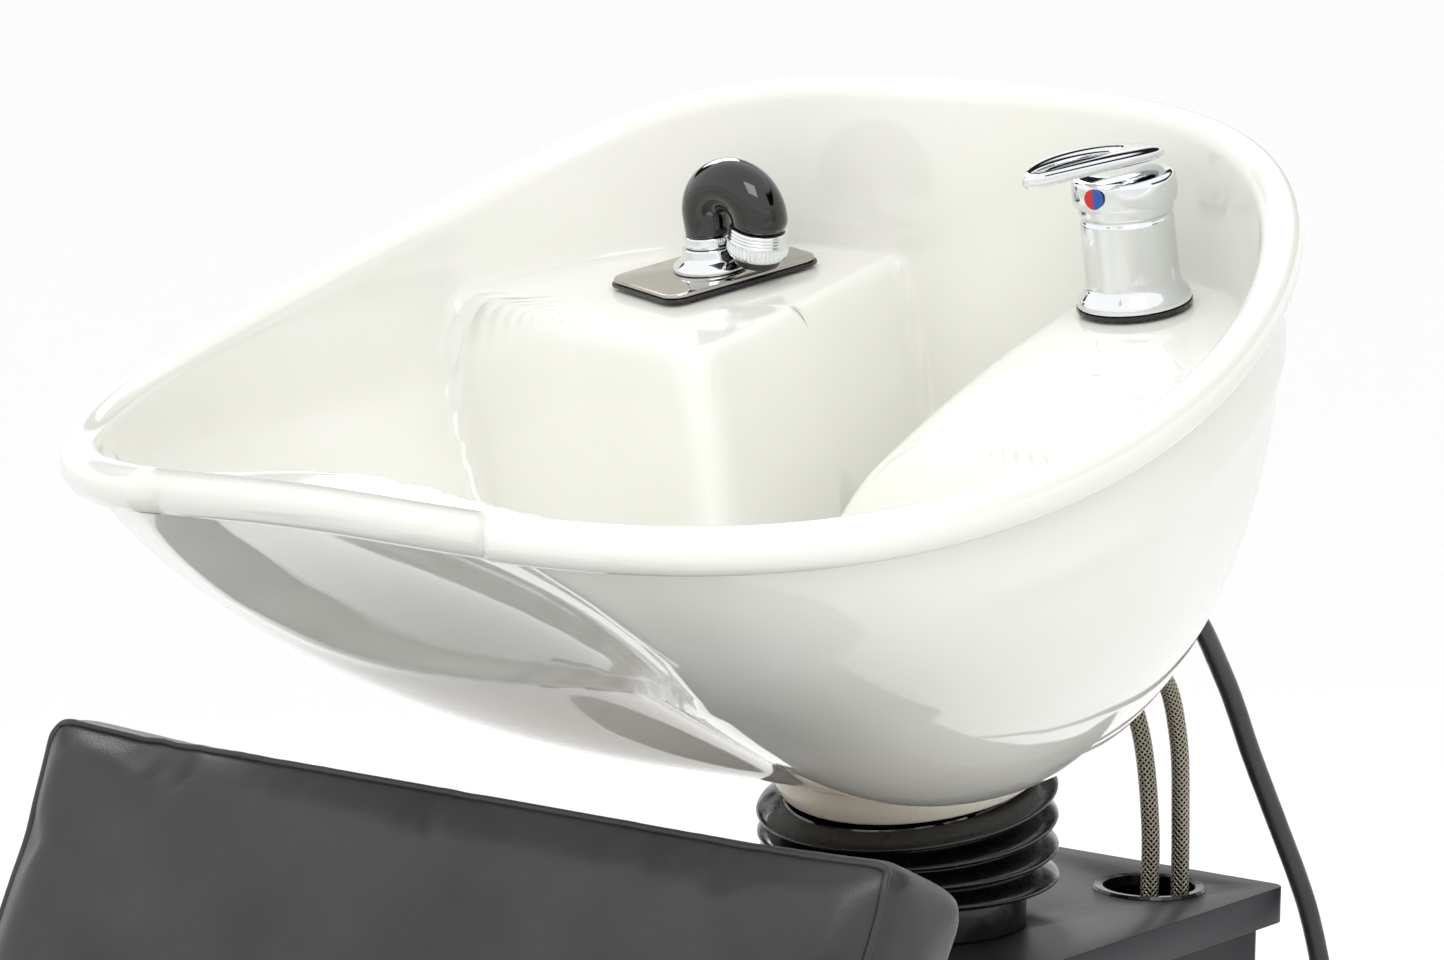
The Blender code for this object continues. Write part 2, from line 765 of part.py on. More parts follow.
def make_base():
    plate = prism(rounded_rectangle(-0.165, 0.165, -0.950, 0.205, 0.020), 0.0, BASE_THICKNESS)
    add_object("base_plate", plate, black_steel())


def open_box(name, x_half, y_low, y_high, low, high, wall, finish):
    """Four sheet walls, open above and below."""
    outer = prism(rounded_rectangle(-x_half, x_half, y_low, y_high, 0.006, 3), low, high)
    shell = add_object(name, outer, finish)
    inner = prism(
        rounded_rectangle(-x_half + wall, x_half - wall, y_low + wall, y_high - wall, 0.003, 3),
        low - 0.01,
        high + 0.01,
    )
    cut(shell, add_object(name + "_hollow", inner, finish))
    return shell


def make_cabinet():
    half = LID_HALF_WIDTH - WALL_INSET
    wall_high = LID_TOP - SHEET - GAP
    shell = open_box(
        "cabinet_shell",
        half,
        LID_FRONT + WALL_INSET,
        LID_BACK - WALL_INSET,
        BASE_THICKNESS + GAP,
        wall_high,
        SHEET,
        black_steel(),
    )
    doorway = block(
        (0.02, DOOR_BACK - DOOR_FRONT, DOOR_HIGH - DOOR_LOW),
        (-half, 0.5 * (DOOR_FRONT + DOOR_BACK), 0.5 * (DOOR_LOW + DOOR_HIGH)),
    )
    cut(shell, add_object("doorway", doorway, black_steel()))
    lid = add_object(
        "cabinet_lid",
        prism(
            rounded_rectangle(-LID_HALF_WIDTH, LID_HALF_WIDTH, LID_FRONT, LID_BACK, 0.008),
            LID_TOP - LID_SKIRT,
            LID_TOP,
        ),
        black_steel(),
    )
    skirt = prism(
        rounded_rectangle(
            -LID_HALF_WIDTH + SHEET, LID_HALF_WIDTH - SHEET, LID_FRONT + SHEET, LID_BACK - SHEET, 0.005
        ),
        LID_TOP - 0.05,
        LID_TOP - SHEET,
    )
    cut(lid, add_object("lid_hollow", skirt, black_steel()))
    for name, (x, y), radius in (
        ("lid_column_hole", (0.0, 0.0), 0.0560), ("lid_hose_hole", HOSE_HOLE, HOSE_HOLE_RADIUS)
    ):
        cut(
            lid,
            add_object(
                name, disc(radius, LID_TOP - 0.06, LID_TOP + 0.06, 32), black_steel(), None, (x, y, 0.0)
            ),
        )
    grommet = turned(
        [
            (HOSE_HOLE_RADIUS - 0.003, LID_TOP - 0.004),
            (HOSE_HOLE_RADIUS - GAP, LID_TOP - 0.004),
            (HOSE_HOLE_RADIUS - GAP, LID_TOP + GAP),
            (HOSE_HOLE_RADIUS + 0.0025, LID_TOP + GAP),
            (HOSE_HOLE_RADIUS + 0.0015, LID_TOP + 0.0020),
            (HOSE_HOLE_RADIUS - 0.003, LID_TOP + 0.0015),
        ],
        32,
    )
    add_object("hose_grommet", grommet, black_rubber(), None, (*HOSE_HOLE, 0.0))


def make_door():
    """Service door in the cabinet's right wall, hung at its front edge, with a turn latch."""
    wall = -(LID_HALF_WIDTH - WALL_INSET)
    hinge = empty("door_hinge", (wall - 0.0060, DOOR_FRONT - 0.012, 0.0))
    length = DOOR_BACK - DOOR_FRONT + 0.020
    middle = 0.5 * (DOOR_LOW + DOOR_HIGH)
    panel = block(
        (0.0030, length, DOOR_HIGH - DOOR_LOW + 0.020), (0.0041, 0.5 * length + 0.0045, middle), 0.0008, 1
    )
    door = add_object("service_door", panel, black_steel(), hinge, smooth=False)
    latch_place = (0.0041, length - 0.018, middle)
    hole = add_object(
        "latch_bore",
        disc(0.0062, -0.01, 0.01, 20),
        steel(),
        hinge,
        latch_place,
        (0.0, math.radians(90.0), 0.0),
    )
    cut(door, hole)
    pin = turned(
        [(0.0, DOOR_LOW), (0.0030, DOOR_LOW), (0.0030, DOOR_HIGH), (0.0, DOOR_HIGH)], 14, closed=False
    )
    add_object("door_hinge_pin", pin, steel(), None, (wall - 0.0060, DOOR_FRONT - 0.012, 0.0))
    turning = empty("latch_axis", latch_place, hinge, (0.0, math.radians(-90.0), 0.0))
    knob = turned(
        [
            (0.0, -0.0060),
            (0.0060, -0.0060),
            (0.0060, 0.0018),
            (0.0120, 0.0018),
            (0.0120, 0.0080),
            (0.0, 0.0080),
        ],
        20,
        closed=False,
    )
    add_object("door_latch_knob", knob, black_plastic(), turning)
    tongue = block((0.010, 0.030, 0.002), (0.0, 0.010, -0.0073))
    add_object("door_latch_tongue", tongue, steel(), turning, smooth=False)


def make_valves():
    """Stop valves on a bracket inside the cabinet, one for each supply hose."""
    bracket = block((0.0700, 0.004, 0.060), (0.060, VALVE_Y + 0.020, VALVE_Z))
    add_object("valve_bracket", bracket, steel(), smooth=False)
    for name, x in VALVE_X.items():
        place = (x, VALVE_Y, VALVE_Z)
        body = turned(
            [
                (0.0, -0.026),
                (0.0080, -0.026),
                (0.0080, -0.010),
                (0.0120, -0.008),
                (0.0120, 0.008),
                (0.0080, 0.010),
                (0.0080, 0.026),
                (0.0, 0.026),
            ],
            18,
            closed=False,
        )
        add_object(f"{name}_stop_valve", body, brass(), None, place)
        axis = empty(
            f"{name}_valve_axis", (x, VALVE_Y - 0.0125, VALVE_Z), None, (math.radians(90.0), 0.0, 0.0)
        )
        handle = block((0.010, 0.034, 0.006), (0.0, 0.004, 0.0035), 0.001, 1)
        colour = (0.5, 0.03, 0.03) if name == "hot" else (0.03, 0.08, 0.5)
        add_object(
            f"{name}_valve_handle",
            handle,
            material(f"{name}_handle_plastic", colour, 0.35),
            axis,
            smooth=False,
        )


# ---------------------------------------------------------------- hoses

def tilted(local):
    """A point of the bowl's frame, in the world at rest."""
    return Euler((TILT, 0.0, 0.0)).to_matrix() @ Vector(local) + Vector((0.0, 0.0, PIVOT_Z))


def hull_place(name):
    """A fitting's point on the hull and the hull's outward direction there, in the bowl's frame."""
    angle, drop, _ = INLETS[name]
    step = 0.002
    point = Vector(hull(angle, drop))
    along = Vector(hull(angle + step, drop)) - Vector(hull(angle - step, drop))
    down = Vector(hull(angle, drop + step)) - Vector(hull(angle, drop - step))
    return point, down.cross(along).normalized()


def hose_end(name):
    """Where a hose meets its fitting's end, and the point just beyond it, in the world."""
    point, outward = hull_place(name)
    reach = FITTING_CLEARANCE + FITTING_LENGTH + HOSE_GAP
    return tuple(tilted(point + outward * reach)), tuple(tilted(point + outward * (reach + HOSE_LEAD)))


def make_fittings(frame):
    for name, (_, _, radius) in INLETS.items():
        point, outward = hull_place(name)
        body = turned(
            [(0.0, 0.0), (radius, 0.0), (radius, FITTING_LENGTH), (0.0, FITTING_LENGTH)], 12, closed=False
        )
        turn = outward.to_track_quat("Z", "Y").to_euler()
        add_object(name, body, chrome(), frame, point + outward * FITTING_CLEARANCE, turn)


def make_hoses(frame):
    """Two braided supply hoses that cross on their way into the cabinet, and the spray's own hose."""
    make_fittings(frame)
    for name, middle in HOSE_ROUTES.items():
        top = hose_end(f"{name}_inlet_nut")
        bottom = [(VALVE_X[name], VALVE_Y, 0.300), (VALVE_X[name], VALVE_Y, VALVE_Z + 0.026 + GAP)]
        tube(f"{name}_supply_hose", through_points([*top, *middle, *bottom], 0.014), HOSE_RADIUS, braid())
    outlet, inlet = hose_end("mixer_outlet_nut"), hose_end("spray_inlet_nut")
    route = through_points([*outlet, *SPRAY_ROUTE, *reversed(inlet)], 0.0225)
    tube("spray_hose", route, SPRAY_HOSE_RADIUS, black_rubber())


# ---------------------------------------------------------------- chair


def make_seat():
    high = PAN_TOP - PAN_THICKNESS - GAP
    open_box("seat_pedestal", 0.110, -0.900, -0.620, BASE_THICKNESS + GAP, high, SHEET, black_steel())
    pan = prism(
        rounded_rectangle(-PAN_HALF, PAN_HALF, -0.970, -0.440, 0.020), PAN_TOP - PAN_THICKNESS, PAN_TOP
    )
    add_object("seat_pan", pan, black_steel())
    board_low = PAN_TOP + GAP
    board = prism(rounded_rectangle(-0.245, 0.245, -0.965, -0.560, 0.030), board_low, board_low + BOARD)
    add_object("seat_board", board, plywood())
    low = board_low + BOARD + GAP
    size = (2.0 * SEAT_HALF, SEAT_REAR - SEAT_FRONT, SEAT_TOP - low)
    centre = (0.0, 0.5 * (SEAT_FRONT + SEAT_REAR), 0.5 * (SEAT_TOP + low))
    add_object("seat_cushion", block(size, centre, 0.026, 3), leatherette())


def back_length_to(through, height):
    """How far down the backrest's length a line at this depth through it reaches a height in the world."""
    return (height - BACK_TOP_Z + through * math.sin(BACK_RECLINE)) / math.cos(BACK_RECLINE)


def make_back():
    """The backrest in its own frame, from its top front edge: x across, y through it and z up its length."""
    leaning = empty("back_frame", (0.0, BACK_TOP_Y, BACK_TOP_Z), None, (-BACK_RECLINE, 0.0, 0.0))
    size = (BACK_WIDTH, BACK_THICKNESS, BACK_LENGTH)
    cushion = block(size, (0.0, 0.5 * BACK_THICKNESS, -0.5 * BACK_LENGTH), 0.016, 3)
    add_object("backrest_cushion", cushion, leatherette(), leaning)
    board_y = BACK_THICKNESS + GAP
    board = block((0.480, BOARD, 0.310), (0.0, board_y + 0.5 * BOARD, -0.190), 0.004, 1)
    add_object("backrest_board", board, plywood(), leaning)
    bar_y = board_y + BOARD + GAP
    for side, name in ((-1, "right"), (1, "left")):
        feet = [back_length_to(bar_y + through, PAN_TOP + GAP) for through in (0.0, 0.008)]
        bar = prism([(0.0, -0.120), (0.0, feet[0]), (0.008, feet[1]), (0.008, -0.120)], -0.020, 0.020)
        bmesh.ops.rotate(
            bar,
            verts=bar.verts,
            cent=(0.0, 0.0, 0.0),
            matrix=Euler((math.radians(90.0), 0.0, math.radians(90.0))).to_matrix(),
        )
        bmesh.ops.translate(bar, verts=bar.verts, vec=(side * 0.150, bar_y, 0.0))
        add_object(f"backrest_bar_{name}", bar, black_steel(), leaning, smooth=False)


def make_arms():
    """Steel tube hoops beside the seat, each with a padded rest on top."""
    for side, name in ((-1, "right"), (1, "left")):
        x = side * ARM_X
        corner = 0.050
        low = PAN_TOP - PAN_THICKNESS
        rear, front = -0.600, -0.890
        path = [(x, rear, low)]
        for centre_y, first in ((rear - corner, 0.0), (front + corner, 0.5 * math.pi)):
            for step in range(7):
                angle = first + 0.5 * math.pi * step / 6
                path.append(
                    (x, centre_y + corner * math.cos(angle), ARM_TOP - corner + corner * math.sin(angle))
                )
        path.append((x, front, low))
        tube(f"arm_tube_{name}", path, ARM_TUBE, black_steel(), 3)
        pad_low = ARM_TOP + ARM_TUBE + 0.0010
        pad = block((0.054, 0.330, 0.036), (x, 0.5 * (rear + front), pad_low + 0.018), 0.012, 2)
        add_object(f"arm_pad_{name}", pad, leatherette())


def main():
    clear_scene()
    frame = empty("bowl_frame", (0.0, 0.0, PIVOT_Z), None, (TILT, 0.0, 0.0))
    make_base()
    make_cabinet()
    make_door()
    make_valves()
    make_tilt(frame)
    make_bellows()
    make_bowl(frame)
    make_drain(frame)
    make_tap(frame)
    make_spray(frame)
    make_hoses(frame)
    make_seat()
    make_back()
    make_arms()


main()
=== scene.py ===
"""Shampoo backwash unit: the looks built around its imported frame.

A tilting glazed bowl with a lever tap and a pull-out spray stands on a steel cabinet, with a reclined chair
in front. Metres, +Z up; the chair faces -Y and the unit is symmetric about X = 0.
"""

import logging
import math
from dataclasses import dataclass, field
from enum import Enum
from typing import Callable, Sequence

import bmesh
import bpy
import numpy as np
from mathutils import Matrix, Vector
from mathutils.bvhtree import BVHTree


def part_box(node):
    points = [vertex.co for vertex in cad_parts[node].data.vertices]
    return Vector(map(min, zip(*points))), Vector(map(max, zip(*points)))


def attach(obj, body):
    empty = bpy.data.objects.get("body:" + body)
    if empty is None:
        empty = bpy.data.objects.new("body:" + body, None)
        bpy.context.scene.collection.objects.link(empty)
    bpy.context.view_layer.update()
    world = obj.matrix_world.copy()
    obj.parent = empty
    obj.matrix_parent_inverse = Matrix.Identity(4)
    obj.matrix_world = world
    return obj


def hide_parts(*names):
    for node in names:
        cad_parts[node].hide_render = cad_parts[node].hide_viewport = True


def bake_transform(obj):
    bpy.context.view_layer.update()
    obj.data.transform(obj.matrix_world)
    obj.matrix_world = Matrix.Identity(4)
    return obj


logging.basicConfig(level=logging.INFO, format="%(message)s")
LOG = logging.getLogger("backwash_unit")

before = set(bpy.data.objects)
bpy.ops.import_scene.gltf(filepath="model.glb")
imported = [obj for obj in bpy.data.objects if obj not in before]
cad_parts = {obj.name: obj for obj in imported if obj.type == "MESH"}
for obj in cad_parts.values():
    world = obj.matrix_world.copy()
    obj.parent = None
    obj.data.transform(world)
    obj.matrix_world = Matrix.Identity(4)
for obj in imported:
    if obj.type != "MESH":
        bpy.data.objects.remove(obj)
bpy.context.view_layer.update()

MM = 0.001
ROOT, BOWL_BODY = "root", "bowl_assembly"
TILT = math.radians(12.0)
PIVOT_Z = 0.615
Points = np.ndarray


# ------------------------------------------------------------------ numbers


def linear(hex_colour: str) -> tuple[float, float, float, float]:
    """Turns an sRGB hex colour into linear values: below 0.04045 a straight line, above it a 2.4 power curve.

    Args:
        hex_colour: Six hex digits.

    Returns:
        Red, green, blue and an alpha of 1.
    """
    parts = [int(hex_colour[i : i + 2], 16) / 255.0 for i in (0, 2, 4)]
    red, green, blue = (c / 12.92 if c <= 0.04045 else ((c + 0.055) / 1.055) ** 2.4 for c in parts)
    return red, green, blue, 1.0


def ease(values: Points | float) -> Points:
    """Smooth step: 3t squared less 2t cubed, held at 0 and 1 outside the unit range.

    Args:
        values: Where each value is between the two ends.

    Returns:
        The eased values.
    """
    t = np.clip(values, 0.0, 1.0)
    return t * t * (3.0 - 2.0 * t)


def smooth_max(a: Points, b: Points, blend: float) -> Points:
    """The larger of two heights, with a quadratic fillet where they are closer than the blend.

    Args:
        a: First height.
        b: Second height.
        blend: Width of the fillet.

    Returns:
        The blended height.
    """
    return np.maximum(a, b) + np.maximum(blend - np.abs(a - b), 0.0) ** 2 / (4.0 * blend)


def in_world(points: Points) -> Points:
    """Takes points of the bowl's frame (x across, v to the back, n along its normal) to the world at rest.

    Args:
        points: Array whose last axis is (x, v, n).

    Returns:
        The same array with (x, y, z).
    """
    x, v, n = points[..., 0], points[..., 1], points[..., 2]
    y = v * math.cos(TILT) - n * math.sin(TILT)
    z = PIVOT_Z + v * math.sin(TILT) + n * math.cos(TILT)
    return np.stack([x, y, z], axis=-1)


def through_points(points: Sequence[Sequence[float]], spacing: float) -> Points:
    """Evenly spaced points on a centripetal Catmull-Rom curve through given points.

    Each span is blended three times between knots spaced by the square root of the points' distance, and the
    dense result is read again at even lengths.

    Args:
        points: The route's own points.
        spacing: Distance between the points returned.

    Returns:
        Array of points along the curve.
    """
    p = np.array(points, float)
    p = np.vstack([2.0 * p[0] - p[1], p, 2.0 * p[-1] - p[-2]])
    spans = []
    for a, b, c, d in zip(p, p[1:], p[2:], p[3:]):
        steps = np.sqrt([np.linalg.norm(b - a), np.linalg.norm(c - b), np.linalg.norm(d - c)])
        k0, k1, k2, k3 = np.concatenate([[0.0], np.cumsum(steps)])
        t = np.linspace(k1, k2, 24, endpoint=False)[:, None]
        ab = ((k1 - t) * a + (t - k0) * b) / (k1 - k0)
        bc = ((k2 - t) * b + (t - k1) * c) / (k2 - k1)
        cd = ((k3 - t) * c + (t - k2) * d) / (k3 - k2)
        abc = ((k2 - t) * ab + (t - k0) * bc) / (k2 - k0)
        bcd = ((k3 - t) * bc + (t - k1) * cd) / (k3 - k1)
        spans.append(((k2 - t) * abc + (t - k1) * bcd) / (k2 - k1))
    fine = np.vstack([*spans, p[-2]])
    return even_path(fine, spacing)


def even_path(fine: Points, spacing: float) -> Points:
    """Reads a dense path again at even lengths.

    Args:
        fine: Dense points.
        spacing: Distance between the points returned.

    Returns:
        Array of points.
    """
    along = np.concatenate([[0.0], np.cumsum(np.linalg.norm(np.diff(fine, axis=0), axis=1))])
    even = np.linspace(0.0, along[-1], max(3, int(round(along[-1] / spacing)) + 1))
    return np.column_stack([np.interp(even, along, fine[:, axis]) for axis in range(3)])


def eased_profile(corners: Sequence[tuple[float, float, float]], steps: int = 6) -> Points:
    """A (radius, height) profile whose corners are rounded by short parabolas.

    Each corner is replaced by the quadratic Bezier that leaves its first side and joins its second at the
    corner's own ease.

    Args:
        corners: (radius, height, ease) for each corner in order.
        steps: Points on each rounded corner.

    Returns:
        Array of (radius, height).
    """
    c = np.array(corners, float)
    made = [c[0, :2]]
    t = np.linspace(0.0, 1.0, steps)[:, None]
    for before, here, after in zip(c, c[1:], c[2:]):
        if here[2] == 0.0:
            made.append(here[:2])
            continue
        back, on = before[:2] - here[:2], after[:2] - here[:2]
        enter = here[:2] + back / np.linalg.norm(back) * min(here[2], 0.49 * np.linalg.norm(back))
        leave = here[:2] + on / np.linalg.norm(on) * min(here[2], 0.49 * np.linalg.norm(on))
        made.extend((1 - t) ** 2 * enter + 2 * t * (1 - t) * here[:2] + t**2 * leave)
    made.append(c[-1, :2])
    return np.array(made)


def lathe(profile: Points, steps: int = 72, wave: Callable[[Points, Points], Points] | None = None) -> Points:
    """Rings of a profile turned about Z: x and y are the radius times the angle's cosine and sine.

    Args:
        profile: Array of (radius, height).
        steps: Points round each ring.
        wave: Optional change of radius from (angle, height).

    Returns:
        Array of rings, steps and (x, y, z).
    """
    angle = np.linspace(0.0, 2.0 * math.pi, steps, endpoint=False)[None, :]
    radius, height = profile[:, :1], profile[:, 1:2] + 0.0 * angle
    if wave:
        radius = radius + wave(angle, height) * (radius > 0.002)
    return np.stack([radius * np.cos(angle), radius * np.sin(angle), height], axis=-1)


def tube_rings(path: Points, radius: Points | float, steps: int = 24) -> Points:
    """Rings of a round tube along a path, carried without twist.

    Each ring's axes are the last ring's, turned by the change of direction between them.

    Args:
        path: Points along the middle.
        radius: One radius, or one for each point.
        steps: Points round each ring.

    Returns:
        Array of rings, steps and (x, y, z).
    """
    along = np.gradient(path, axis=0)
    along /= np.linalg.norm(along, axis=1)[:, None]
    side = np.cross(along[0], (0.0, 0.0, 1.0) if abs(along[0, 2]) < 0.9 else (1.0, 0.0, 0.0))
    sides = []
    for direction in along:
        side = side - direction * (side @ direction)
        side = side / np.linalg.norm(side)
        sides.append(side)
    sides = np.array(sides)
    ups = np.cross(along, sides)
    angle = np.linspace(0.0, 2.0 * math.pi, steps, endpoint=False)[None, :, None]
    reach = np.broadcast_to(np.asarray(radius, float), (len(path),))[:, None, None]
    return path[:, None, :] + reach * (np.cos(angle) * sides[:, None, :] + np.sin(angle) * ups[:, None, :])


def rounded_outline(half_x: float, half_y: float, corner: float, steps: int = 10) -> Points:
    """A rectangle's outline with quarter-circle corners, anticlockwise round the origin.

    Args:
        half_x: Half its width.
        half_y: Half its depth.
        corner: Corner radius.
        steps: Points on each corner.

    Returns:
        Array of (x, y).
    """
    turn = np.linspace(0.0, 0.5 * math.pi, steps)
    quarters = []
    for index, (sx, sy) in enumerate(((1, 1), (-1, 1), (-1, -1), (1, -1))):
        angle = turn + index * 0.5 * math.pi
        centre = np.array([sx * (half_x - corner), sy * (half_y - corner)])
        quarters.append(centre + corner * np.column_stack([np.cos(angle), np.sin(angle)]))
    return np.vstack(quarters)


def slab_rings(outline: Points, low: float, high: float, edge: float) -> Points:
    """Rings of a flat slab with rounded edges: the outline stepped inwards as it nears each flat face.

    Args:
        outline: Array of (x, y) round the origin.
        low: Lower face.
        high: Upper face.
        edge: Edge radius.

    Returns:
        Array of rings, steps and (x, y, z).
    """
    turn = np.linspace(0.0, 0.5 * math.pi, 5)
    inset = np.concatenate([edge * (1 - np.sin(turn)), edge * (1 - np.cos(turn))])
    height = np.concatenate([low + edge * (1 - np.cos(turn)), high - edge * (1 - np.sin(turn))])
    lengths = np.linalg.norm(outline, axis=1)[None, :, None]
    flat = outline[None] * (1.0 - inset[:, None, None] / lengths)
    return np.concatenate([flat, np.broadcast_to(height[:, None, None], (*flat.shape[:2], 1))], axis=-1)


# ------------------------------------------------------------------ meshes


class Ends(Enum):
    """How a surface of rings is finished at its first and last ring."""

    CAPPED = "capped"
    JOINED = "joined"


def skin(name: str, rings: Points, ends: Ends = Ends.CAPPED, uv: bool = False) -> bpy.types.Object:
    """Makes a closed object from rings of points, its faces outward.

    Quads join each ring to the next. Capped ends get a fan to the ring's middle; joined ends run from the
    last ring back to the first.

    Args:
        name: The piece's name.
        rings: Array of rings, steps and (x, y, z).
        ends: How the first and last ring are finished.
        uv: Whether to add a map with u round the ring and v along the rings, both from 0 to 1.

    Returns:
        The new object at the origin.
    """
    count, steps = rings.shape[:2]
    points = rings.reshape(-1, 3)
    i, j = np.meshgrid(
        np.arange(count if ends is Ends.JOINED else count - 1), np.arange(steps), indexing="ij"
    )
    after_i, after_j = (i + 1) % count, (j + 1) % steps
    here, beside = i * steps + j, i * steps + after_j
    quads = np.stack([here, beside, after_i * steps + after_j, after_i * steps + j], -1).reshape(-1, 4)
    faces = quads.tolist()
    if ends is Ends.CAPPED:
        ring = np.arange(steps)
        points = np.vstack([points, rings[0].mean(axis=0), rings[-1].mean(axis=0)])
        first, last = count * steps, count * steps + 1
        upper = (count - 1) * steps
        faces += np.stack([np.full(steps, first), (ring + 1) % steps, ring], -1).tolist()
        faces += np.stack([np.full(steps, last), upper + ring, upper + (ring + 1) % steps], -1).tolist()
    a, b, c = points[quads[:, 0]], points[quads[:, 1]], points[quads[:, 2]]
    d = points[quads[:, 3]]
    middle = points.mean(axis=0)
    volume = np.einsum("ij,ij->i", a - middle, np.cross(b - middle, c - middle)).sum()
    volume += np.einsum("ij,ij->i", a - middle, np.cross(c - middle, d - middle)).sum()
    if volume < 0.0:
        faces = [face[::-1] for face in faces]
    mesh = bpy.data.meshes.new(name)
    mesh.from_pydata(points.tolist(), [], faces)
    mesh.shade_smooth()
    if uv:
        layer = mesh.uv_layers.new(name="along")
        corner = np.empty(len(mesh.loops), np.int64)
        mesh.loops.foreach_get("vertex_index", corner)
        sizes = np.array([len(face) for face in faces])
        start = np.repeat(np.concatenate([[0], np.cumsum(sizes)[:-1]]), sizes)
        u = (corner % steps) / steps
        lowest = np.minimum.reduceat(u, np.unique(start))
        highest = np.maximum.reduceat(u, np.unique(start))
        wraps = np.repeat(highest - lowest > 0.5, sizes)
        u = np.where(wraps & (u < 0.5), u + 1.0, u)
        v = np.minimum(corner // steps, count - 1) / (count - 1)
        layer.data.foreach_set("uv", np.stack([u, v], -1).ravel())
    obj = bpy.data.objects.new(name, mesh)
    bpy.context.scene.collection.objects.link(obj)
    return obj


def crease(obj: bpy.types.Object, degrees: float = 38.0) -> None:
    """Keeps edges sharper than the angle crisp in a smooth-shaded mesh."""
    obj.data.set_sharp_from_angle(angle=math.radians(degrees))


def settle(
    piece: bpy.types.Object, body: str | None, finish: "Finish", replaced: Sequence[str] = ()
) -> bpy.types.Object:
    """Gives a piece its finish and its body, and hides the CAD nodes it stands for.

    Args:
        piece: The new object.
        body: The body it rides on, or None where it is blended between two.
        finish: Its surface; the finish's material slot is not used here.
        replaced: CAD nodes that it stands for.

    Returns:
        The piece.
    """
    piece.data.materials.clear()
    piece.data.materials.append(finish.material())
    if body:
        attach(piece, body)
    if replaced:
        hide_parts(*replaced)
    LOG.info("%s on %s", piece.name, body)
    return piece


def softened(node: str, body: str, finish: "Finish", width: float = 0.8 * MM) -> bpy.types.Object:
    """A copy of a folded or cut metal node whose sharp edges are broken, so that they catch the light.

    The copy's triangles are merged and its flat faces dissolved, then a bevel of the given width rounds each
    edge steeper than 30 degrees.

    Args:
        node: The CAD node.
        body: The body it rides on.
        finish: Its surface.
        width: Width of the broken edge.

    Returns:
        The new piece.
    """
    bm = bmesh.new()
    bm.from_mesh(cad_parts[node].data)
    bmesh.ops.remove_doubles(bm, verts=bm.verts, dist=1e-5)
    bmesh.ops.dissolve_limit(bm, angle_limit=math.radians(0.5), verts=bm.verts, edges=bm.edges)
    bmesh.ops.recalc_face_normals(bm, faces=bm.faces)
    mesh = bpy.data.meshes.new(node + "_eased")
    bm.to_mesh(mesh)
    bm.free()
    mesh.shade_smooth()
    piece = bpy.data.objects.new(node + "_eased", mesh)
    bpy.context.scene.collection.objects.link(piece)
    bevel = piece.modifiers.new("broken_edge", "BEVEL")
    bevel.width = width
    bevel.segments = 2
    bevel.limit_method = "ANGLE"
    bevel.angle_limit = math.radians(30.0)
    bevel.harden_normals = True
    return settle(piece, body, finish, [node])


# ------------------------------------------------------------------ finishes


def add_node(
    tree: bpy.types.NodeTree, kind: str, settings: dict | None = None, inputs: dict | None = None
) -> bpy.types.Node:
    """Adds a node with its settings and links.

    Args:
        tree: The material's node tree.
        kind: The node's type.
        settings: Attributes of the node.
        inputs: Input name or number to a value, or to the output socket that feeds it.

    Returns:
        The node.
    """
    node = tree.nodes.new(kind)
    for name, value in (settings or {}).items():
        setattr(node, name, value)
    for name, value in (inputs or {}).items():
        if isinstance(value, bpy.types.NodeSocket):
            tree.links.new(value, node.inputs[name])
        else:
            node.inputs[name].default_value = value
    return node


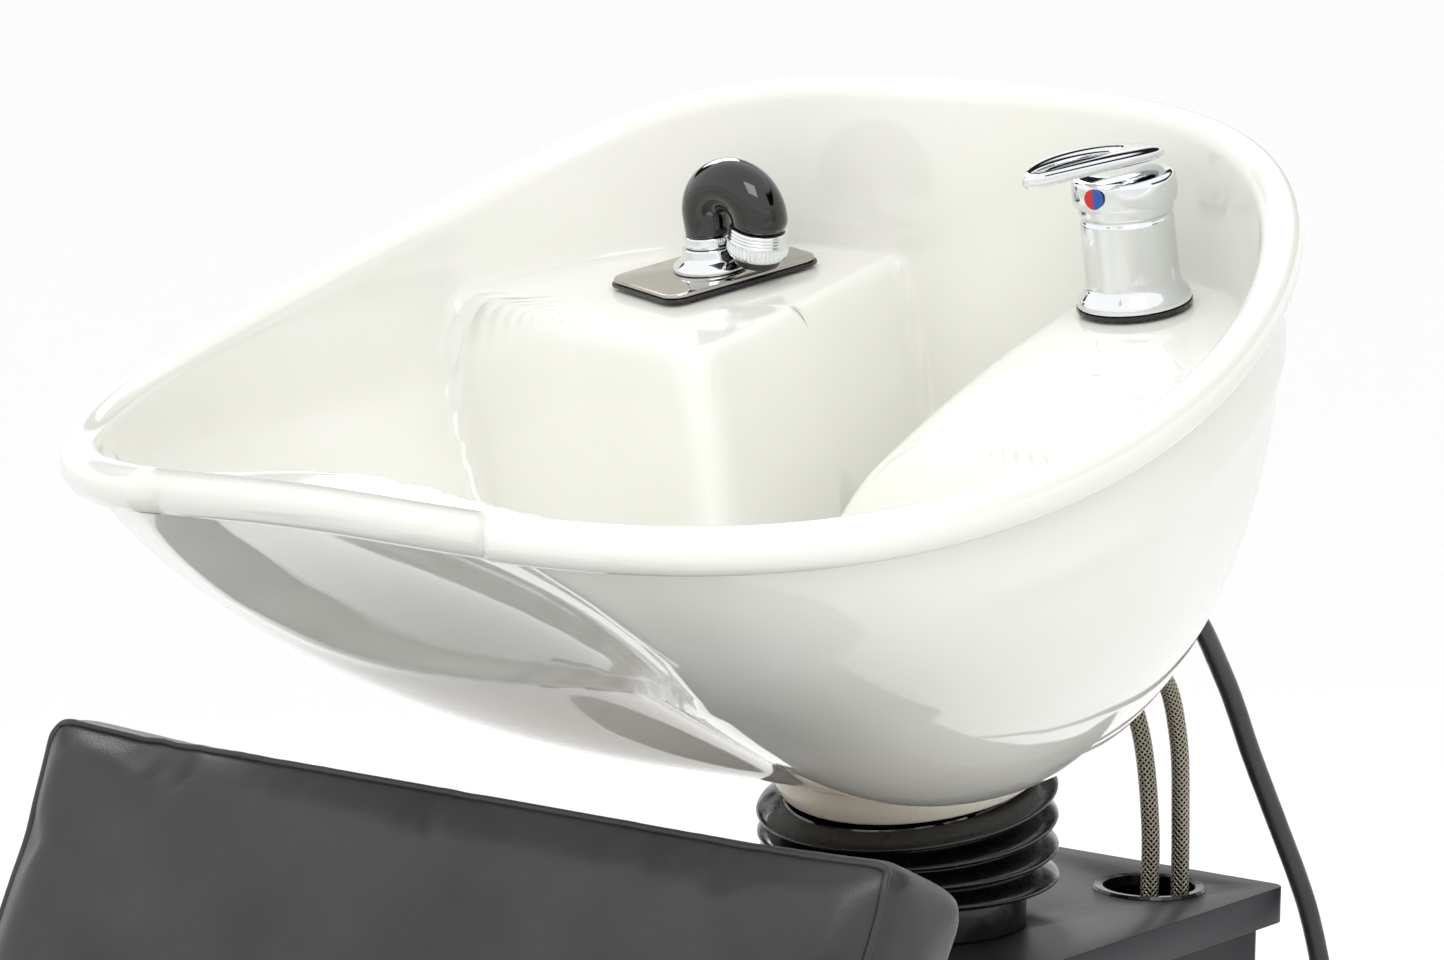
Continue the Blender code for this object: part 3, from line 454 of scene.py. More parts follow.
@dataclass
class Pattern:
    """A material's node tree and Principled shader, with the few nodes that the finishes share."""

    tree: bpy.types.NodeTree
    shader: bpy.types.Node

    def place(self) -> bpy.types.NodeSocket:
        """The object's own coordinates."""
        return add_node(self.tree, "ShaderNodeTexCoord").outputs["Object"]

    def noise(self, scale: float, detail: float, stretch: Sequence[float] = ()) -> bpy.types.NodeSocket:
        """Soft noise over the object.

        Args:
            scale: Noise cells in a metre.
            detail: How much finer noise is added.
            stretch: Cells in a metre along each axis, on top of the scale.

        Returns:
            The noise's socket.
        """
        place = self.place()
        if stretch:
            mapping = add_node(self.tree, "ShaderNodeMapping", inputs={"Vector": place, "Scale": stretch})
            place = mapping.outputs["Vector"]
        inputs = {"Vector": place, "Scale": scale, "Detail": detail}
        return add_node(self.tree, "ShaderNodeTexNoise", inputs=inputs).outputs["Fac"]

    def maths(self, operation: str, *values: float | bpy.types.NodeSocket) -> bpy.types.NodeSocket:
        """The result of one arithmetic node on numbers or sockets."""
        inputs = dict(enumerate(values))
        return add_node(self.tree, "ShaderNodeMath", {"operation": operation}, inputs).outputs[0]

    def colour_by(
        self, value: bpy.types.NodeSocket, first: str, second: str, low: float = 0.0, high: float = 1.0
    ) -> None:
        """Runs the base colour from one colour to another over a value.

        Args:
            value: The value's socket.
            first: Colour at and under the low value.
            second: Colour at and over the high value.
            low: Where the run begins.
            high: Where it ends.
        """
        ramp = add_node(self.tree, "ShaderNodeValToRGB", inputs={"Fac": value})
        start, end = ramp.color_ramp.elements
        start.position, start.color = low, linear(first)
        end.position, end.color = high, linear(second)
        self.tree.links.new(ramp.outputs["Color"], self.shader.inputs["Base Color"])

    def roughness_by(
        self, value: bpy.types.NodeSocket, middle: float, shares: tuple[float, float], span: tuple[
            float, float
        ]
    ) -> None:
        """Runs the roughness between two shares of its middle value.

        Args:
            value: The value's socket.
            middle: The finish's roughness.
            shares: Share of it at each end.
            span: The values at the ends.
        """
        limits = {
            "From Min": span[0],
            "From Max": span[1],
            "To Min": middle * shares[0],
            "To Max": middle * shares[1],
        }
        spread = add_node(self.tree, "ShaderNodeMapRange", inputs={"Value": value, **limits})
        self.tree.links.new(spread.outputs["Result"], self.shader.inputs["Roughness"])

    def bump(self, height: bpy.types.NodeSocket, depth: float, strength: float) -> None:
        """Feeds a height into the shader's normal.

        Args:
            height: The height's socket.
            depth: Real depth of the pattern, in metres.
            strength: Share of the effect.
        """
        inputs = {"Height": height, "Distance": depth, "Strength": strength}
        node = add_node(self.tree, "ShaderNodeBump", inputs=inputs)
        self.tree.links.new(node.outputs["Normal"], self.shader.inputs["Normal"])


@dataclass(frozen=True)
class Finish:
    """A surface: its name, slot, colour and gloss, and a pattern that a kind of finish adds."""

    name: str
    slot: str
    colour: str
    roughness: float
    metallic: float = 0.0
    coat: float = 0.0
    ior: float = 1.5

    def material(self) -> bpy.types.Material:
        """The Blender material, made once for each name."""
        found = bpy.data.materials.get(self.name)
        if found:
            return found
        made = bpy.data.materials.new(self.name)
        made.use_nodes = True
        shader = made.node_tree.nodes["Principled BSDF"]
        shader.inputs["Base Color"].default_value = linear(self.colour)
        shader.inputs["Roughness"].default_value = self.roughness
        shader.inputs["Metallic"].default_value = self.metallic
        shader.inputs["Coat Weight"].default_value = self.coat
        if not self.metallic:
            shader.inputs["IOR"].default_value = self.ior
        made.diffuse_color = linear(self.colour)
        self.add_pattern(Pattern(made.node_tree, shader))
        return made

    def add_pattern(self, pattern: Pattern) -> None:
        """The plain finish varies only in gloss, as handled goods do."""
        self.vary_roughness(pattern, 40.0, 0.25)

    def vary_roughness(self, pattern: Pattern, scale: float, share: float) -> None:
        """Lets the gloss drift with a soft noise of this scale, up to this share of itself."""
        noise = pattern.noise(scale, 3.0)
        pattern.roughness_by(noise, self.roughness, (1.0 - share, 1.0 + share), (0.3, 0.7))

    def drift_colour(self, pattern: Pattern, other: str, scale: float) -> None:
        """Lets the colour drift towards another with a soft noise of this scale."""
        pattern.colour_by(pattern.noise(scale, 4.0), self.colour, other, 0.35, 0.65)


@dataclass(frozen=True)
class GlazedChina(Finish):
    """Vitreous china, slip cast and fired under a white glaze that pools in long shallow waves."""

    def add_pattern(self, pattern: Pattern) -> None:
        """The glaze's waves are about 45 mm long and a few tenths of a millimetre deep."""
        self.drift_colour(pattern, "E6E6DF", 9.0)
        pattern.bump(pattern.noise(22.0, 1.0), 0.6 * MM, 0.35)


@dataclass(frozen=True)
class PlatedMetal(Finish):
    """Chrome plate over polished brass: mirror bright, with a faint haze where it is wiped."""

    def add_pattern(self, pattern: Pattern) -> None:
        """A haze in patches about 15 mm across."""
        self.vary_roughness(pattern, 70.0, 0.5)


@dataclass(frozen=True)
class BrushedSteel(Finish):
    """Stainless steel brushed along one direction, so that its highlight stretches across the lines."""

    def add_pattern(self, pattern: Pattern) -> None:
        """Brush lines 0.5 mm apart and 30 mm long along Y, coarser than grit so that they show."""
        pattern.bump(pattern.noise(1.0, 2.0, (2000.0, 33.0, 2000.0)), 0.02 * MM, 0.4)
        self.vary_roughness(pattern, 60.0, 0.3)


@dataclass(frozen=True)
class PowderCoat(Finish):
    """Polyester powder baked on sheet steel, with the fine orange peel that the melt leaves."""

    def add_pattern(self, pattern: Pattern) -> None:
        """Peel about 1.2 mm across and a few hundredths of a millimetre deep."""
        pattern.bump(pattern.noise(800.0, 1.5), 0.03 * MM, 0.5)
        self.vary_roughness(pattern, 25.0, 0.2)


@dataclass(frozen=True)
class MouldedRubber(Finish):
    """Moulded rubber with a soft sheen, a little dusty and scuffed."""

    def add_pattern(self, pattern: Pattern) -> None:
        """Scuffs about 10 mm long vary the gloss, over a fine mould texture of 0.7 mm."""
        pattern.bump(pattern.noise(1400.0, 2.0), 0.03 * MM, 0.35)
        self.vary_roughness(pattern, 90.0, 0.45)


@dataclass(frozen=True)
class GrainedVinyl(Finish):
    """Upholstery vinyl: PVC skin embossed with a fine pebble grain and rubbed glossier on its crowns."""

    grain: float = 1.1 * MM

    def add_pattern(self, pattern: Pattern) -> None:
        """Pebbles are Voronoi cells about 1.1 mm across, each a low dome, over slow creases of 30 mm."""
        self.drift_colour(pattern, "323234", 14.0)
        inputs = {"Vector": pattern.place(), "Scale": 1.0 / self.grain, "Smoothness": 0.6}
        cells = add_node(pattern.tree, "ShaderNodeTexVoronoi", {"feature": "SMOOTH_F1"}, inputs)
        distance = cells.outputs["Distance"]
        domes = pattern.maths("MULTIPLY_ADD", distance, -1.0, 1.0)
        height = pattern.maths("MULTIPLY_ADD", pattern.noise(30.0, 5.0), 2.2, domes)
        pattern.bump(height, 0.14 * MM, 0.55)
        pattern.roughness_by(distance, self.roughness, (0.88, 1.2), (0.1, 0.7))


@dataclass(frozen=True)
class WireBraid(Finish):
    """Stainless wire braided over a rubber tube: flat bands that cross in a diamond lattice."""

    bands: float = 10.0
    turns: float = 140.0

    def add_pattern(self, pattern: Pattern) -> None:
        """Two families of bands cross on the hose's own map. The colour runs from a dark tone in the gaps up to the
        steel's own at the band crowns: this is the rubber that shows between the bands, with painted shade in the
        hollows and down the bands' flanks.

        A band's height is the sine of its phase, and the higher family wins at each crossing.
        """
        place = add_node(pattern.tree, "ShaderNodeUVMap", {"uv_map": "along"})
        split = add_node(pattern.tree, "ShaderNodeSeparateXYZ", inputs={0: place.outputs["UV"]})
        waves = []
        for lean in (1.0, -1.0):
            slant = pattern.maths("MULTIPLY", split.outputs["Y"], self.turns * 2.0 * math.pi * lean)
            phase = pattern.maths("MULTIPLY_ADD", split.outputs["X"], self.bands * 2.0 * math.pi, slant)
            waves.append(pattern.maths("SINE", phase))
        over = pattern.maths("MAXIMUM", *waves)
        # Painted shade: the colour darkens as the band height falls, in the gaps and down each band's flanks, over
        # the rubber that shows between the bands.
        pattern.colour_by(over, "3A3835", self.colour, 0.02, 0.55)
        pattern.bump(over, 0.5 * MM, 0.8)


@dataclass(frozen=True)
class TwoTone(Finish):
    """A printed dot, split down its middle: warm on one side and cold on the other."""

    other: str = "1C4FA8"
    middle: float = 0.138

    def add_pattern(self, pattern: Pattern) -> None:
        """The colour changes where X passes the dot's middle."""
        split = add_node(pattern.tree, "ShaderNodeSeparateXYZ", inputs={0: pattern.place()})
        past = pattern.maths("GREATER_THAN", split.outputs["X"], self.middle)
        pattern.colour_by(past, self.colour, self.other)


@dataclass(frozen=True)
class SandedPly(Finish):
    """Birch plywood, sanded: long grain lines on the face."""

    def add_pattern(self, pattern: Pattern) -> None:
        """Grain 3 mm wide and 90 mm long along X, as a stretched noise."""
        pattern.colour_by(pattern.noise(1.0, 4.0, (11.0, 330.0, 330.0)), "A9824F", self.colour)


CHINA = GlazedChina("glazed_china", "white_ceramic", "E9E9E4", 0.05, ior=1.55)
CHROME = PlatedMetal("chrome_plate", "chrome_finish", "E4E6E8", 0.05, metallic=1.0)
POLISHED_PLATE = PlatedMetal("polished_deck_plate", "polished_steel", "B5B0AA", 0.09, metallic=1.0)
STEEL = BrushedSteel("brushed_stainless", "polished_steel", "BDBEC0", 0.30, metallic=1.0)
BRASS = Finish("machined_brass", "brass", "C9A65A", 0.28, metallic=1.0)
COAT = PowderCoat("black_powder_coat", "black_powder_coat", "0D0D0E", 0.42)
RUBBER = MouldedRubber("moulded_black_rubber", "black_rubber", "0E0E10", 0.24, coat=0.2)
HOSE_PVC = MouldedRubber("black_pvc_hose", "black_rubber", "2A2B2E", 0.34)
GLOSS_ABS = Finish("gloss_black_abs", "black_plastic", "050506", 0.05, coat=0.5)
CREAM_ABS = Finish("moulded_cream_abs", "cream_plastic", "DDD8CB", 0.32)
RED_ABS = Finish("red_abs", "red_plastic", "A81E20", 0.35)
BLUE_ABS = Finish("blue_abs", "blue_plastic", "1F459B", 0.35)
VINYL = GrainedVinyl("charcoal_upholstery_vinyl", "leatherette", "242426", 0.36)
BRAID = WireBraid("braided_stainless_wire", "braided_steel", "B4AD9C", 0.34, metallic=1.0)
MARK = TwoTone("red_and_blue_mark", "red_blue_mark", "C2202A", 0.25)
PLY = SandedPly("birch_plywood", "plywood", "CDAA78", 0.55)


# ------------------------------------------------------------------ bowl


@dataclass
class Bowl:
    """The glazed wash bowl: a rolled rim round one skin, two decks, a channel between them and a neck rest."""

    rim_x: tuple[float, ...] = (0.273, -0.005, -0.0065, -0.0075)
    rim_v: tuple[float, ...] = (-0.143, -0.300, -0.0135, 0.027, 0.002)
    rim_n: tuple[float, ...] = (0.319, -0.027, 0.0215, 0.005, -0.002)
    roll: float = 0.0112
    neck_roll: float = 0.0132
    neck_recess: float = 0.012
    foot_radius: float = 0.075
    foot_v: float = 0.006
    foot_n: float = 0.040
    drain_radius: float = 0.022
    deck_n: float = 0.278
    channel_half: float = 0.045
    basin_n: float = 0.085
    wall: float = 0.024
    tap_pad: tuple[float, float] = (0.102, 0.014)
    tap_soft: float = 0.050
    scoop_drops: tuple[float, ...] = (0.0, 0.07, 0.143, 0.288, 0.42, 0.49, 0.55, 0.60, 1.0)
    scoop_edges: tuple[float, ...] = (0.47, 0.55, 0.60, 0.66, 0.64, 0.58, 0.42, 0.05, -0.90)
    scoop_depth: float = 0.019
    scoop_lip: float = 0.0028
    angles: int = 336
    inner_rings: int = 150
    outer_rings: int = 64

    @staticmethod
    def waves(
        coefficients: Sequence[float], angle: Points, first: int, wave: Callable[[Points], Points]
    ) -> Points:
        """A sum of sines or cosines of whole multiples of the angle, each times its own coefficient."""
        return sum(c * wave((k + first) * angle) for k, c in enumerate(coefficients))

    def rim(self, angle: Points) -> tuple[Points, Points, Points]:
        """Centre line of the roll: short sine and cosine series of the angle from the neck rest.

        Args:
            angle: 0 at the neck rest, growing over the sitter's left side.

        Returns:
            x, v and n in the bowl's frame.
        """
        return (
            self.waves(self.rim_x, angle, 1, np.sin),
            self.waves(self.rim_v, angle, 0, np.cos),
            self.waves(self.rim_n, angle, 0, np.cos),
        )

    @staticmethod
    def front_share(angle: Points, width: float) -> Points:
        """1 at the neck rest, falling as a bell curve of the given width round the sides."""
        turned_in = (angle + math.pi) % (2.0 * math.pi) - math.pi
        return np.exp(-((turned_in / width) ** 2))

    def spread_angles(self) -> Points:
        """Angles round the bowl, four times as close together where the neck rest steps back."""
        dense = np.linspace(-math.pi, math.pi, 4001)
        crowd = 1.0 + 7.0 * np.exp(-(((np.abs(dense) - 0.53) / 0.075) ** 2))
        total = np.concatenate([[0.0], np.cumsum(0.5 * (crowd[1:] + crowd[:-1]))])
        return np.interp(np.linspace(0.0, total[-1], self.angles, endpoint=False), total, dense)

    def neck_share(self, angle: Points, edge: float) -> Points:
        """1 inside the neck rest and 0 outside its edge angle, eased over 0.04 radians."""
        return ease((edge - np.abs(angle)) / 0.040)

    def hull(self, angle: Points, drop: Points) -> Points:
        """Outer skin: a superellipse from rim to foot with full sides, and a scoop in the slanting front.

        The scoop's edge angle follows a table over the drop. Inside it the skin lies back by the scoop's
        depth, most of it half way down the scoop, and a low rounded lip runs along the edge.

        Args:
            angle: Angle round the bowl.
            drop: 0 at the rim, 1 at the foot.

        Returns:
            Array of (x, v, n).
        """
        x, v, n = self.rim(angle)
        foot_x = self.foot_radius * np.sin(angle)
        foot_v = self.foot_v - self.foot_radius * np.cos(angle)
        front = self.front_share(angle, 0.9)
        power = 1.9 - 0.75 * front
        root = 1.5 - 0.40 * front
        reach = (1.0 - drop**power) ** (1.0 / root) - 0.075 * front * np.sin(math.pi * drop)
        edge = np.interp(drop, self.scoop_drops, self.scoop_edges)
        inside = ease((edge - np.abs(angle)) / 0.16)
        sweep = np.sin(math.pi * np.clip(drop / 0.62, 0.0, 1.0))
        lip = np.exp(-(((np.abs(angle) - edge) / 0.055) ** 2)) * ease((0.62 - drop) / 0.2) * ease(drop / 0.1)
        depth = self.scoop_depth * inside * (0.25 + 0.75 * sweep) * ease(drop / 0.05) - self.scoop_lip * lip
        length = np.hypot(x - foot_x, v - foot_v)
        reach = reach - depth / length * ease((1.0 - drop) / 0.2)
        crease = 0.0035 * np.exp(-(((drop - 0.17) / 0.035) ** 2)) * ease((np.abs(angle) - 1.1) / 0.3)
        reach = reach + crease / length * ease((2.3 - np.abs(angle)) / 0.4)
        return np.stack(
            [foot_x + (x - foot_x) * reach, foot_v + (v - foot_v) * reach, n - (n - self.foot_n) * drop], -1
        )

    def floor_height(self, px: Points, pv: Points) -> Points:
        """Basin floor: a shallow dish rising with the square of the distance from the drain."""
        return self.basin_n + 0.75 * (np.hypot(px, pv - self.foot_v) - self.drain_radius) ** 2

    def deck_height(self, px: Points, pv: Points) -> Points:
        """Both decks. The dock's is level and ends in a steep step; the tap's falls softly towards the basin.

        Six low soap ridges 16 mm apart, each half a cosine wave, cross the deck in front of the tap.
        """
        dock_side = smooth_max(px + self.channel_half, -0.090 - 0.27 * px - pv, 0.022)
        dock = self.deck_n - 6.0 * (np.hypot(np.maximum(dock_side, 0.0), 0.010) - 0.010)
        tap_ahead = 0.22 * (self.tap_pad[1] - pv) + smooth_max(-0.115 - pv, 0.0 * pv, 0.010)
        tap_side = np.maximum(smooth_max(self.tap_pad[0] - px, tap_ahead, 0.050), 0.0)
        tap = self.deck_n - 3.4 * (np.hypot(tap_side, self.tap_soft) - self.tap_soft)
        ridges = 0.5 + 0.5 * np.cos(2.0 * math.pi * (pv + 0.045) / 0.016)
        window = ease((px - 0.140) / 0.018) * ease((0.240 - px) / 0.018)
        window = window * ease((pv + 0.136) / 0.008) * ease((-0.037 - pv) / 0.008)
        return smooth_max(dock, tap, 0.016) + 0.0026 * ridges * window

    def inner_skin(self, angle: Points, share: Points) -> Points:
        """Inner skin: the highest of the wall below the rim, the dish, the decks and a floor over the hull.

        The wall falls steeply from the rim except behind the neck rest, where it is a long saddle.

        Args:
            angle: Angle round the bowl.
            share: 1 at the rim's inner edge, 0 at the drain.

        Returns:
            Array of (x, v, n).
        """
        x, v, n = self.rim(angle)
        length = np.hypot(x, v - self.foot_v)
        inner = 1.0 - self.roll / length
        inner_x, inner_v = x * inner, self.foot_v + (v - self.foot_v) * inner
        end_x = self.drain_radius * np.sin(angle)
        end_v = self.foot_v - self.drain_radius * np.cos(angle)
        px = end_x + (inner_x - end_x) * share
        pv = end_v + (inner_v - end_v) * share
        from_edge = np.hypot(inner_x - px, inner_v - pv)
        height = n - (8.0 - 7.35 * self.front_share(angle, 0.8)) * from_edge
        away = np.clip(
            (np.hypot(px, pv - self.foot_v) - self.foot_radius) / (length - self.foot_radius), 0.0, 1.0
        )
        front = self.front_share(angle, 0.9)
        power, root = 1.9 - 0.75 * front, 1.5 - 0.40 * front
        drop = (1.0 - np.clip(away + 0.075 * front, 0.0, 1.0) ** root) ** (1.0 / power)
        over_hull = n - (n - self.foot_n) * drop + self.wall
        height = smooth_max(height, self.floor_height(px, pv), 0.030)
        height = smooth_max(height, over_hull, 0.010)
        height = smooth_max(height, self.deck_height(px, pv), 0.014)
        return np.stack([px, pv, np.minimum(height, n)], -1)

    def even_inner(self, angle: Points) -> Points:
        """Inner rings at even lengths along each radial section, so that steep walls get their share.

        Args:
            angle: Angles round the bowl.

        Returns:
            Array of rings, angles and (x, v, n), from the drain to the rim.
        """
        share = np.linspace(0.0, 1.0, 900)
        dense = self.inner_skin(angle[None, :], share[:, None] + 0.0 * angle[None, :])
        step = np.linalg.norm(np.diff(dense, axis=0), axis=-1)
        along = np.concatenate([np.zeros((1, len(angle))), np.cumsum(step, axis=0)])
        even = np.linspace(0.0, 1.0, self.inner_rings)
        sections = []
        for index in range(len(angle)):
            places = even * along[-1, index]
            sections.append([np.interp(places, along[:, index], dense[:, index, axis]) for axis in range(3)])
        return np.array(sections).transpose(2, 0, 1)

    def roll_rings(self, angle: Points) -> Points:
        """The rolled rim: a round section along the centre line, larger and set back at the neck rest.

        The edge of the neck rest lies further out on the roll's inner side, so that each horn ends round.

        Args:
            angle: Angles round the bowl.

        Returns:
            Array of rings, angles and (x, v, n), from the inner side over the top to the outer side.
        """
        x, v, n = self.rim(angle)
        length = np.hypot(x, v - self.foot_v)
        out_x, out_v = x / length, (v - self.foot_v) / length
        rings = []
        for turn in np.radians(np.linspace(172.0, -52.0, 22)):
            edge = 0.47 + 0.13 * ease((math.degrees(turn) - 70.0) / 90.0)
            neck = self.neck_share(angle, edge)
            radius = self.roll + (self.neck_roll - self.roll) * neck
            back = self.neck_recess * neck * ease((1.9 - turn) / 1.2)
            reach = radius * math.cos(turn) - back
            low = 0.0022 * neck
            rings.append(
                np.stack([x + reach * out_x, v + reach * out_v, n + radius * math.sin(turn) - low], -1)
            )
        return np.array(rings)

    def build(self) -> None:
        """Makes the bowl and its foot ring."""
        angle = self.spread_angles()
        drops = np.linspace(0.0, 1.0, self.outer_rings + 1)[1:] ** 1.1
        outer = self.hull(angle[None, :], drops[:, None] + 0.0 * angle[None, :])
        under = np.stack(
            [
                self.drain_radius * np.sin(angle),
                self.foot_v - self.drain_radius * np.cos(angle),
                self.foot_n + 0.0 * angle,
            ],
            -1,
        )[None]
        rings = np.concatenate([self.even_inner(angle)[:-1], self.roll_rings(angle), outer, under])
        bowl = skin("bowl_china", in_world(rings), Ends.JOINED)
        settle(bowl, BOWL_BODY, CHINA, ["bowl"])
        foot = eased_profile(
            [
                (0.0620, 0.022, 0.0),
                (0.0705, 0.022, 0.002),
                (0.0738, 0.030, 0.003),
                (0.0738, 0.0395, 0.001),
                (0.0620, 0.0395, 0.0),
            ]
        )
        ring = lathe(foot, 96)
        ring[..., 1] += self.foot_v
        settle(skin("bowl_foot_ring", in_world(ring), Ends.JOINED), BOWL_BODY, CREAM_ABS, ["foot_ring"])


# ------------------------------------------------------------------ tap and spray


@dataclass
class LeverTap:
    """Single-lever mixer: a turned body on a flange, a hub that turns, and a looped lever that lifts."""

    x: float = 0.138
    v: float = 0.050
    base_n: float = 0.2823
    body_high: float = 0.052
    lever_back: float = 0.026
    lever_rise: float = 0.0170

    def placed(self, rings: Points, high: float = 0.0) -> Points:
        """Moves rings from the tap's axis to the world, at a height over its base."""
        return in_world(rings + np.array([self.x, self.v, self.base_n + high]))

    def body(self) -> None:
        """Flange, waist and barrel: one turned profile with eased corners and a fine groove under the hub."""
        profile = eased_profile(
            [
                (0.0, 0.0, 0.0),
                (0.0290, 0.0, 0.0008),
                (0.0290, 0.0035, 0.0030),
                (0.0262, 0.0072, 0.0020),
                (0.0246, 0.0095, 0.0015),
                (0.0240, 0.0130, 0.0020),
                (0.0237, 0.0440, 0.0010),
                (0.0226, 0.0452, 0.0006),
                (0.0226, 0.0462, 0.0006),
                (0.0240, 0.0474, 0.0008),
                (0.0240, self.body_high, 0.0005),
                (0.0, self.body_high, 0.0),
            ]
        )
        piece = skin("tap_barrel", self.placed(lathe(profile, 96)))
        settle(piece, BOWL_BODY, CHROME, ["tap_body"])

    def hub(self) -> None:
        """The turning hub: a barrel slightly wider than the body, with a domed top below the lever."""
        profile = eased_profile(
            [
                (0.0, 0.0, 0.0),
                (0.0262, 0.0, 0.0010),
                (0.0268, 0.0050, 0.0030),
                (0.0264, 0.0132, 0.0022),
                (0.0244, 0.0149, 0.0015),
                (0.0, 0.0150, 0.0),
            ]
        )
        piece = skin("tap_hub_barrel", self.placed(lathe(profile, 96), self.body_high + 0.0003))
        settle(piece, "tap_hub", CHROME, ["lever_hub"])

    def lever(self) -> None:
        """The lever: a round-edged section carried round a long loop that rises in an arch to its tip.

        The loop's outer edge is an egg in plan and its slot a long ellipse. A superellipse section spans from
        one to the other at each angle, and the whole follows a shallow parabola.
        """
        turn = np.linspace(0.0, 2.0 * math.pi, 160, endpoint=False)[None, :]
        section = np.linspace(0.0, 2.0 * math.pi, 40, endpoint=False)[:, None]
        outer_y = -0.054 + 0.057 * np.cos(turn)
        half = 0.0245 - 0.0120 * np.clip(-outer_y / 0.111, 0.0, 1.0)
        outer_x = half * np.sin(turn)
        slot_y, slot_x = -0.066 + 0.036 * np.cos(turn), 0.0075 * np.sin(turn)
        wide = np.sign(np.cos(section)) * np.abs(np.cos(section)) ** 0.55
        tall = np.sign(np.sin(section)) * np.abs(np.sin(section)) ** 0.75
        share = 0.5 + 0.5 * wide
        y = slot_y + (outer_y - slot_y) * share
        x = slot_x + (outer_x - slot_x) * share
        ahead = 0.003 - y
        arch = -0.0015 + 0.21 * ahead - 0.85 * ahead**2
        z = arch + 0.0037 + (0.0034 + 0.0004 * (1.0 - share)) * tall
        rings = np.stack([x, y + self.lever_back, z + self.lever_rise + self.body_high + 0.0003], -1)
        piece = skin("tap_lever_loop", self.placed(rings), Ends.JOINED)
        settle(piece, "lever", CHROME, ["tap_lever"])

    def build(self) -> None:
        """Makes the whole tap."""
        self.body()
        self.hub()
        self.lever()


@dataclass
class PullOutSpray:
    """The spray and its dock: a polished plate on the deck, a chrome flange, an elbow and a knurled collar."""

    x: float = -0.119
    v: float = 0.037
    plate_n: float = 0.282
    plate_turn: float = math.radians(-20.0)
    mouth_turn: float = math.radians(194.0)
    bend: float = 0.0175
    foot: float = 0.0063
    rise: float = 0.010
    flange_n: float = 0.2848

    def placed(self, rings: Points, high: float) -> Points:
        """Moves rings from the dock's axis to the world, at a height along the bowl's normal."""
        return in_world(rings + np.array([self.x, self.v, high]))

    def plate(self) -> None:
        """The plate and its gasket: rounded rectangles with eased edges, turned on the deck."""
        turn = np.array(
            [
                [math.cos(self.plate_turn), math.sin(self.plate_turn)],
                [-math.sin(self.plate_turn), math.cos(self.plate_turn)],
            ]
        )
        for name, half_x, half_y, low, high, finish, node in (
            ("dock_gasket", 0.0335, 0.0485, -0.0020, 0.0, RUBBER, "deck_gasket"),
            ("dock_plate", 0.0325, 0.0475, 0.0003, 0.0025, POLISHED_PLATE, "deck_plate"),
        ):
            outline = rounded_outline(half_x, half_y, 0.010) @ turn
            rings = slab_rings(outline, low, high, 0.0007)
            rings[..., 1] += 0.001
            settle(skin(name, self.placed(rings, self.plate_n)), BOWL_BODY, finish, [node])

    def flange(self) -> None:
        """The dock's flange and the neck ring that sits in it: turned profiles with a bell foot."""
        bell = eased_profile(
            [
                (0.0, 0.0, 0.0),
                (0.0212, 0.0, 0.0006),
                (0.0212, 0.0022, 0.0014),
                (0.0185, 0.0046, 0.0030),
                (0.0160, 0.0062, 0.0020),
                (0.0152, 0.0120, 0.0008),
                (0.0, 0.0120, 0.0),
            ]
        )
        piece = skin("dock_bell", self.placed(lathe(bell, 96), self.flange_n))
        settle(piece, BOWL_BODY, CHROME, ["dock_flange"])
        band = eased_profile(
            [(0.0, 0.0, 0.0), (0.0136, 0.0, 0.001), (0.0136, 0.0060, 0.0012), (0.0, 0.0060, 0.0)]
        )
        piece = skin("spray_neck_band", self.placed(lathe(band, 96), self.flange_n + 0.0123))
        settle(piece, "spray", CHROME, ["spray_neck_ring"])

    def elbow(self) -> None:
        """The gloss elbow: a round section that swells along a rise and a bend of 194 degrees."""
        turn = np.concatenate([np.zeros(8), np.linspace(0.0, self.mouth_turn, 56)])
        below = np.concatenate([np.linspace(-self.rise, 0.0, 8, endpoint=False), np.zeros(56)])
        share = np.linspace(0.0, 1.0, 64)
        radius = 0.0124 + 0.0026 * np.sin(0.5 * math.pi * share)
        radius *= 1.0 - 0.10 * ease((share - 0.96) / 0.04)
        angle = np.linspace(0.0, 2.0 * math.pi, 48, endpoint=False)[None, :]
        turn, below, radius = turn[:, None], below[:, None], radius[:, None]
        across = radius * np.cos(angle)
        centre_x = self.bend - self.bend * np.cos(turn)
        x = centre_x + across * np.cos(turn)
        z = self.foot + self.rise + below + self.bend * np.sin(turn) - across * np.sin(turn)
        rings = np.stack([x, radius * np.sin(angle), z], -1)
        piece = skin("spray_elbow", self.placed(rings, self.flange_n + 0.0123))
        settle(piece, "spray", GLOSS_ABS, ["spray_body"])

    def mouth(self, rings: Points) -> Points:
        """Moves rings from the collar's own axis, which points out of the elbow's mouth, to the world."""
        end = self.mouth_turn - math.pi
        x = self.bend - self.bend * math.cos(math.pi + end) + 0.0003 * math.sin(end)
        z = self.foot + self.rise + self.bend * math.sin(math.pi + end) - 0.0003
        cos, sin = math.cos(self.mouth_turn), math.sin(self.mouth_turn)
        turned = np.stack(
            [
                cos * rings[..., 0] + sin * rings[..., 2] + x,
                rings[..., 1],
                -sin * rings[..., 0] + cos * rings[..., 2] + z,
            ],
            -1,
        )
        return self.placed(turned, self.flange_n + 0.0123)

    def tip(self) -> None:
        """Collar and nozzle: 44 knurls as a cosine of the angle, between three grooves and a plain lip."""
        grooves = [(0.0, 0.0, 0.0), (0.0154, 0.0, 0.0008)]
        for step in range(3):
            low = 0.0022 + 0.0018 * step
            grooves += [(0.0160, low - 0.0005, 0.0003), (0.0153, low, 0.0003), (0.0160, low + 0.0006, 0.0003)]
        grooves += [
            (0.0161, 0.0074, 0.0003), (0.0161, 0.0135, 0.0005), (0.0152, 0.0155, 0.0010), (0.0, 0.0155, 0.0)
        ]

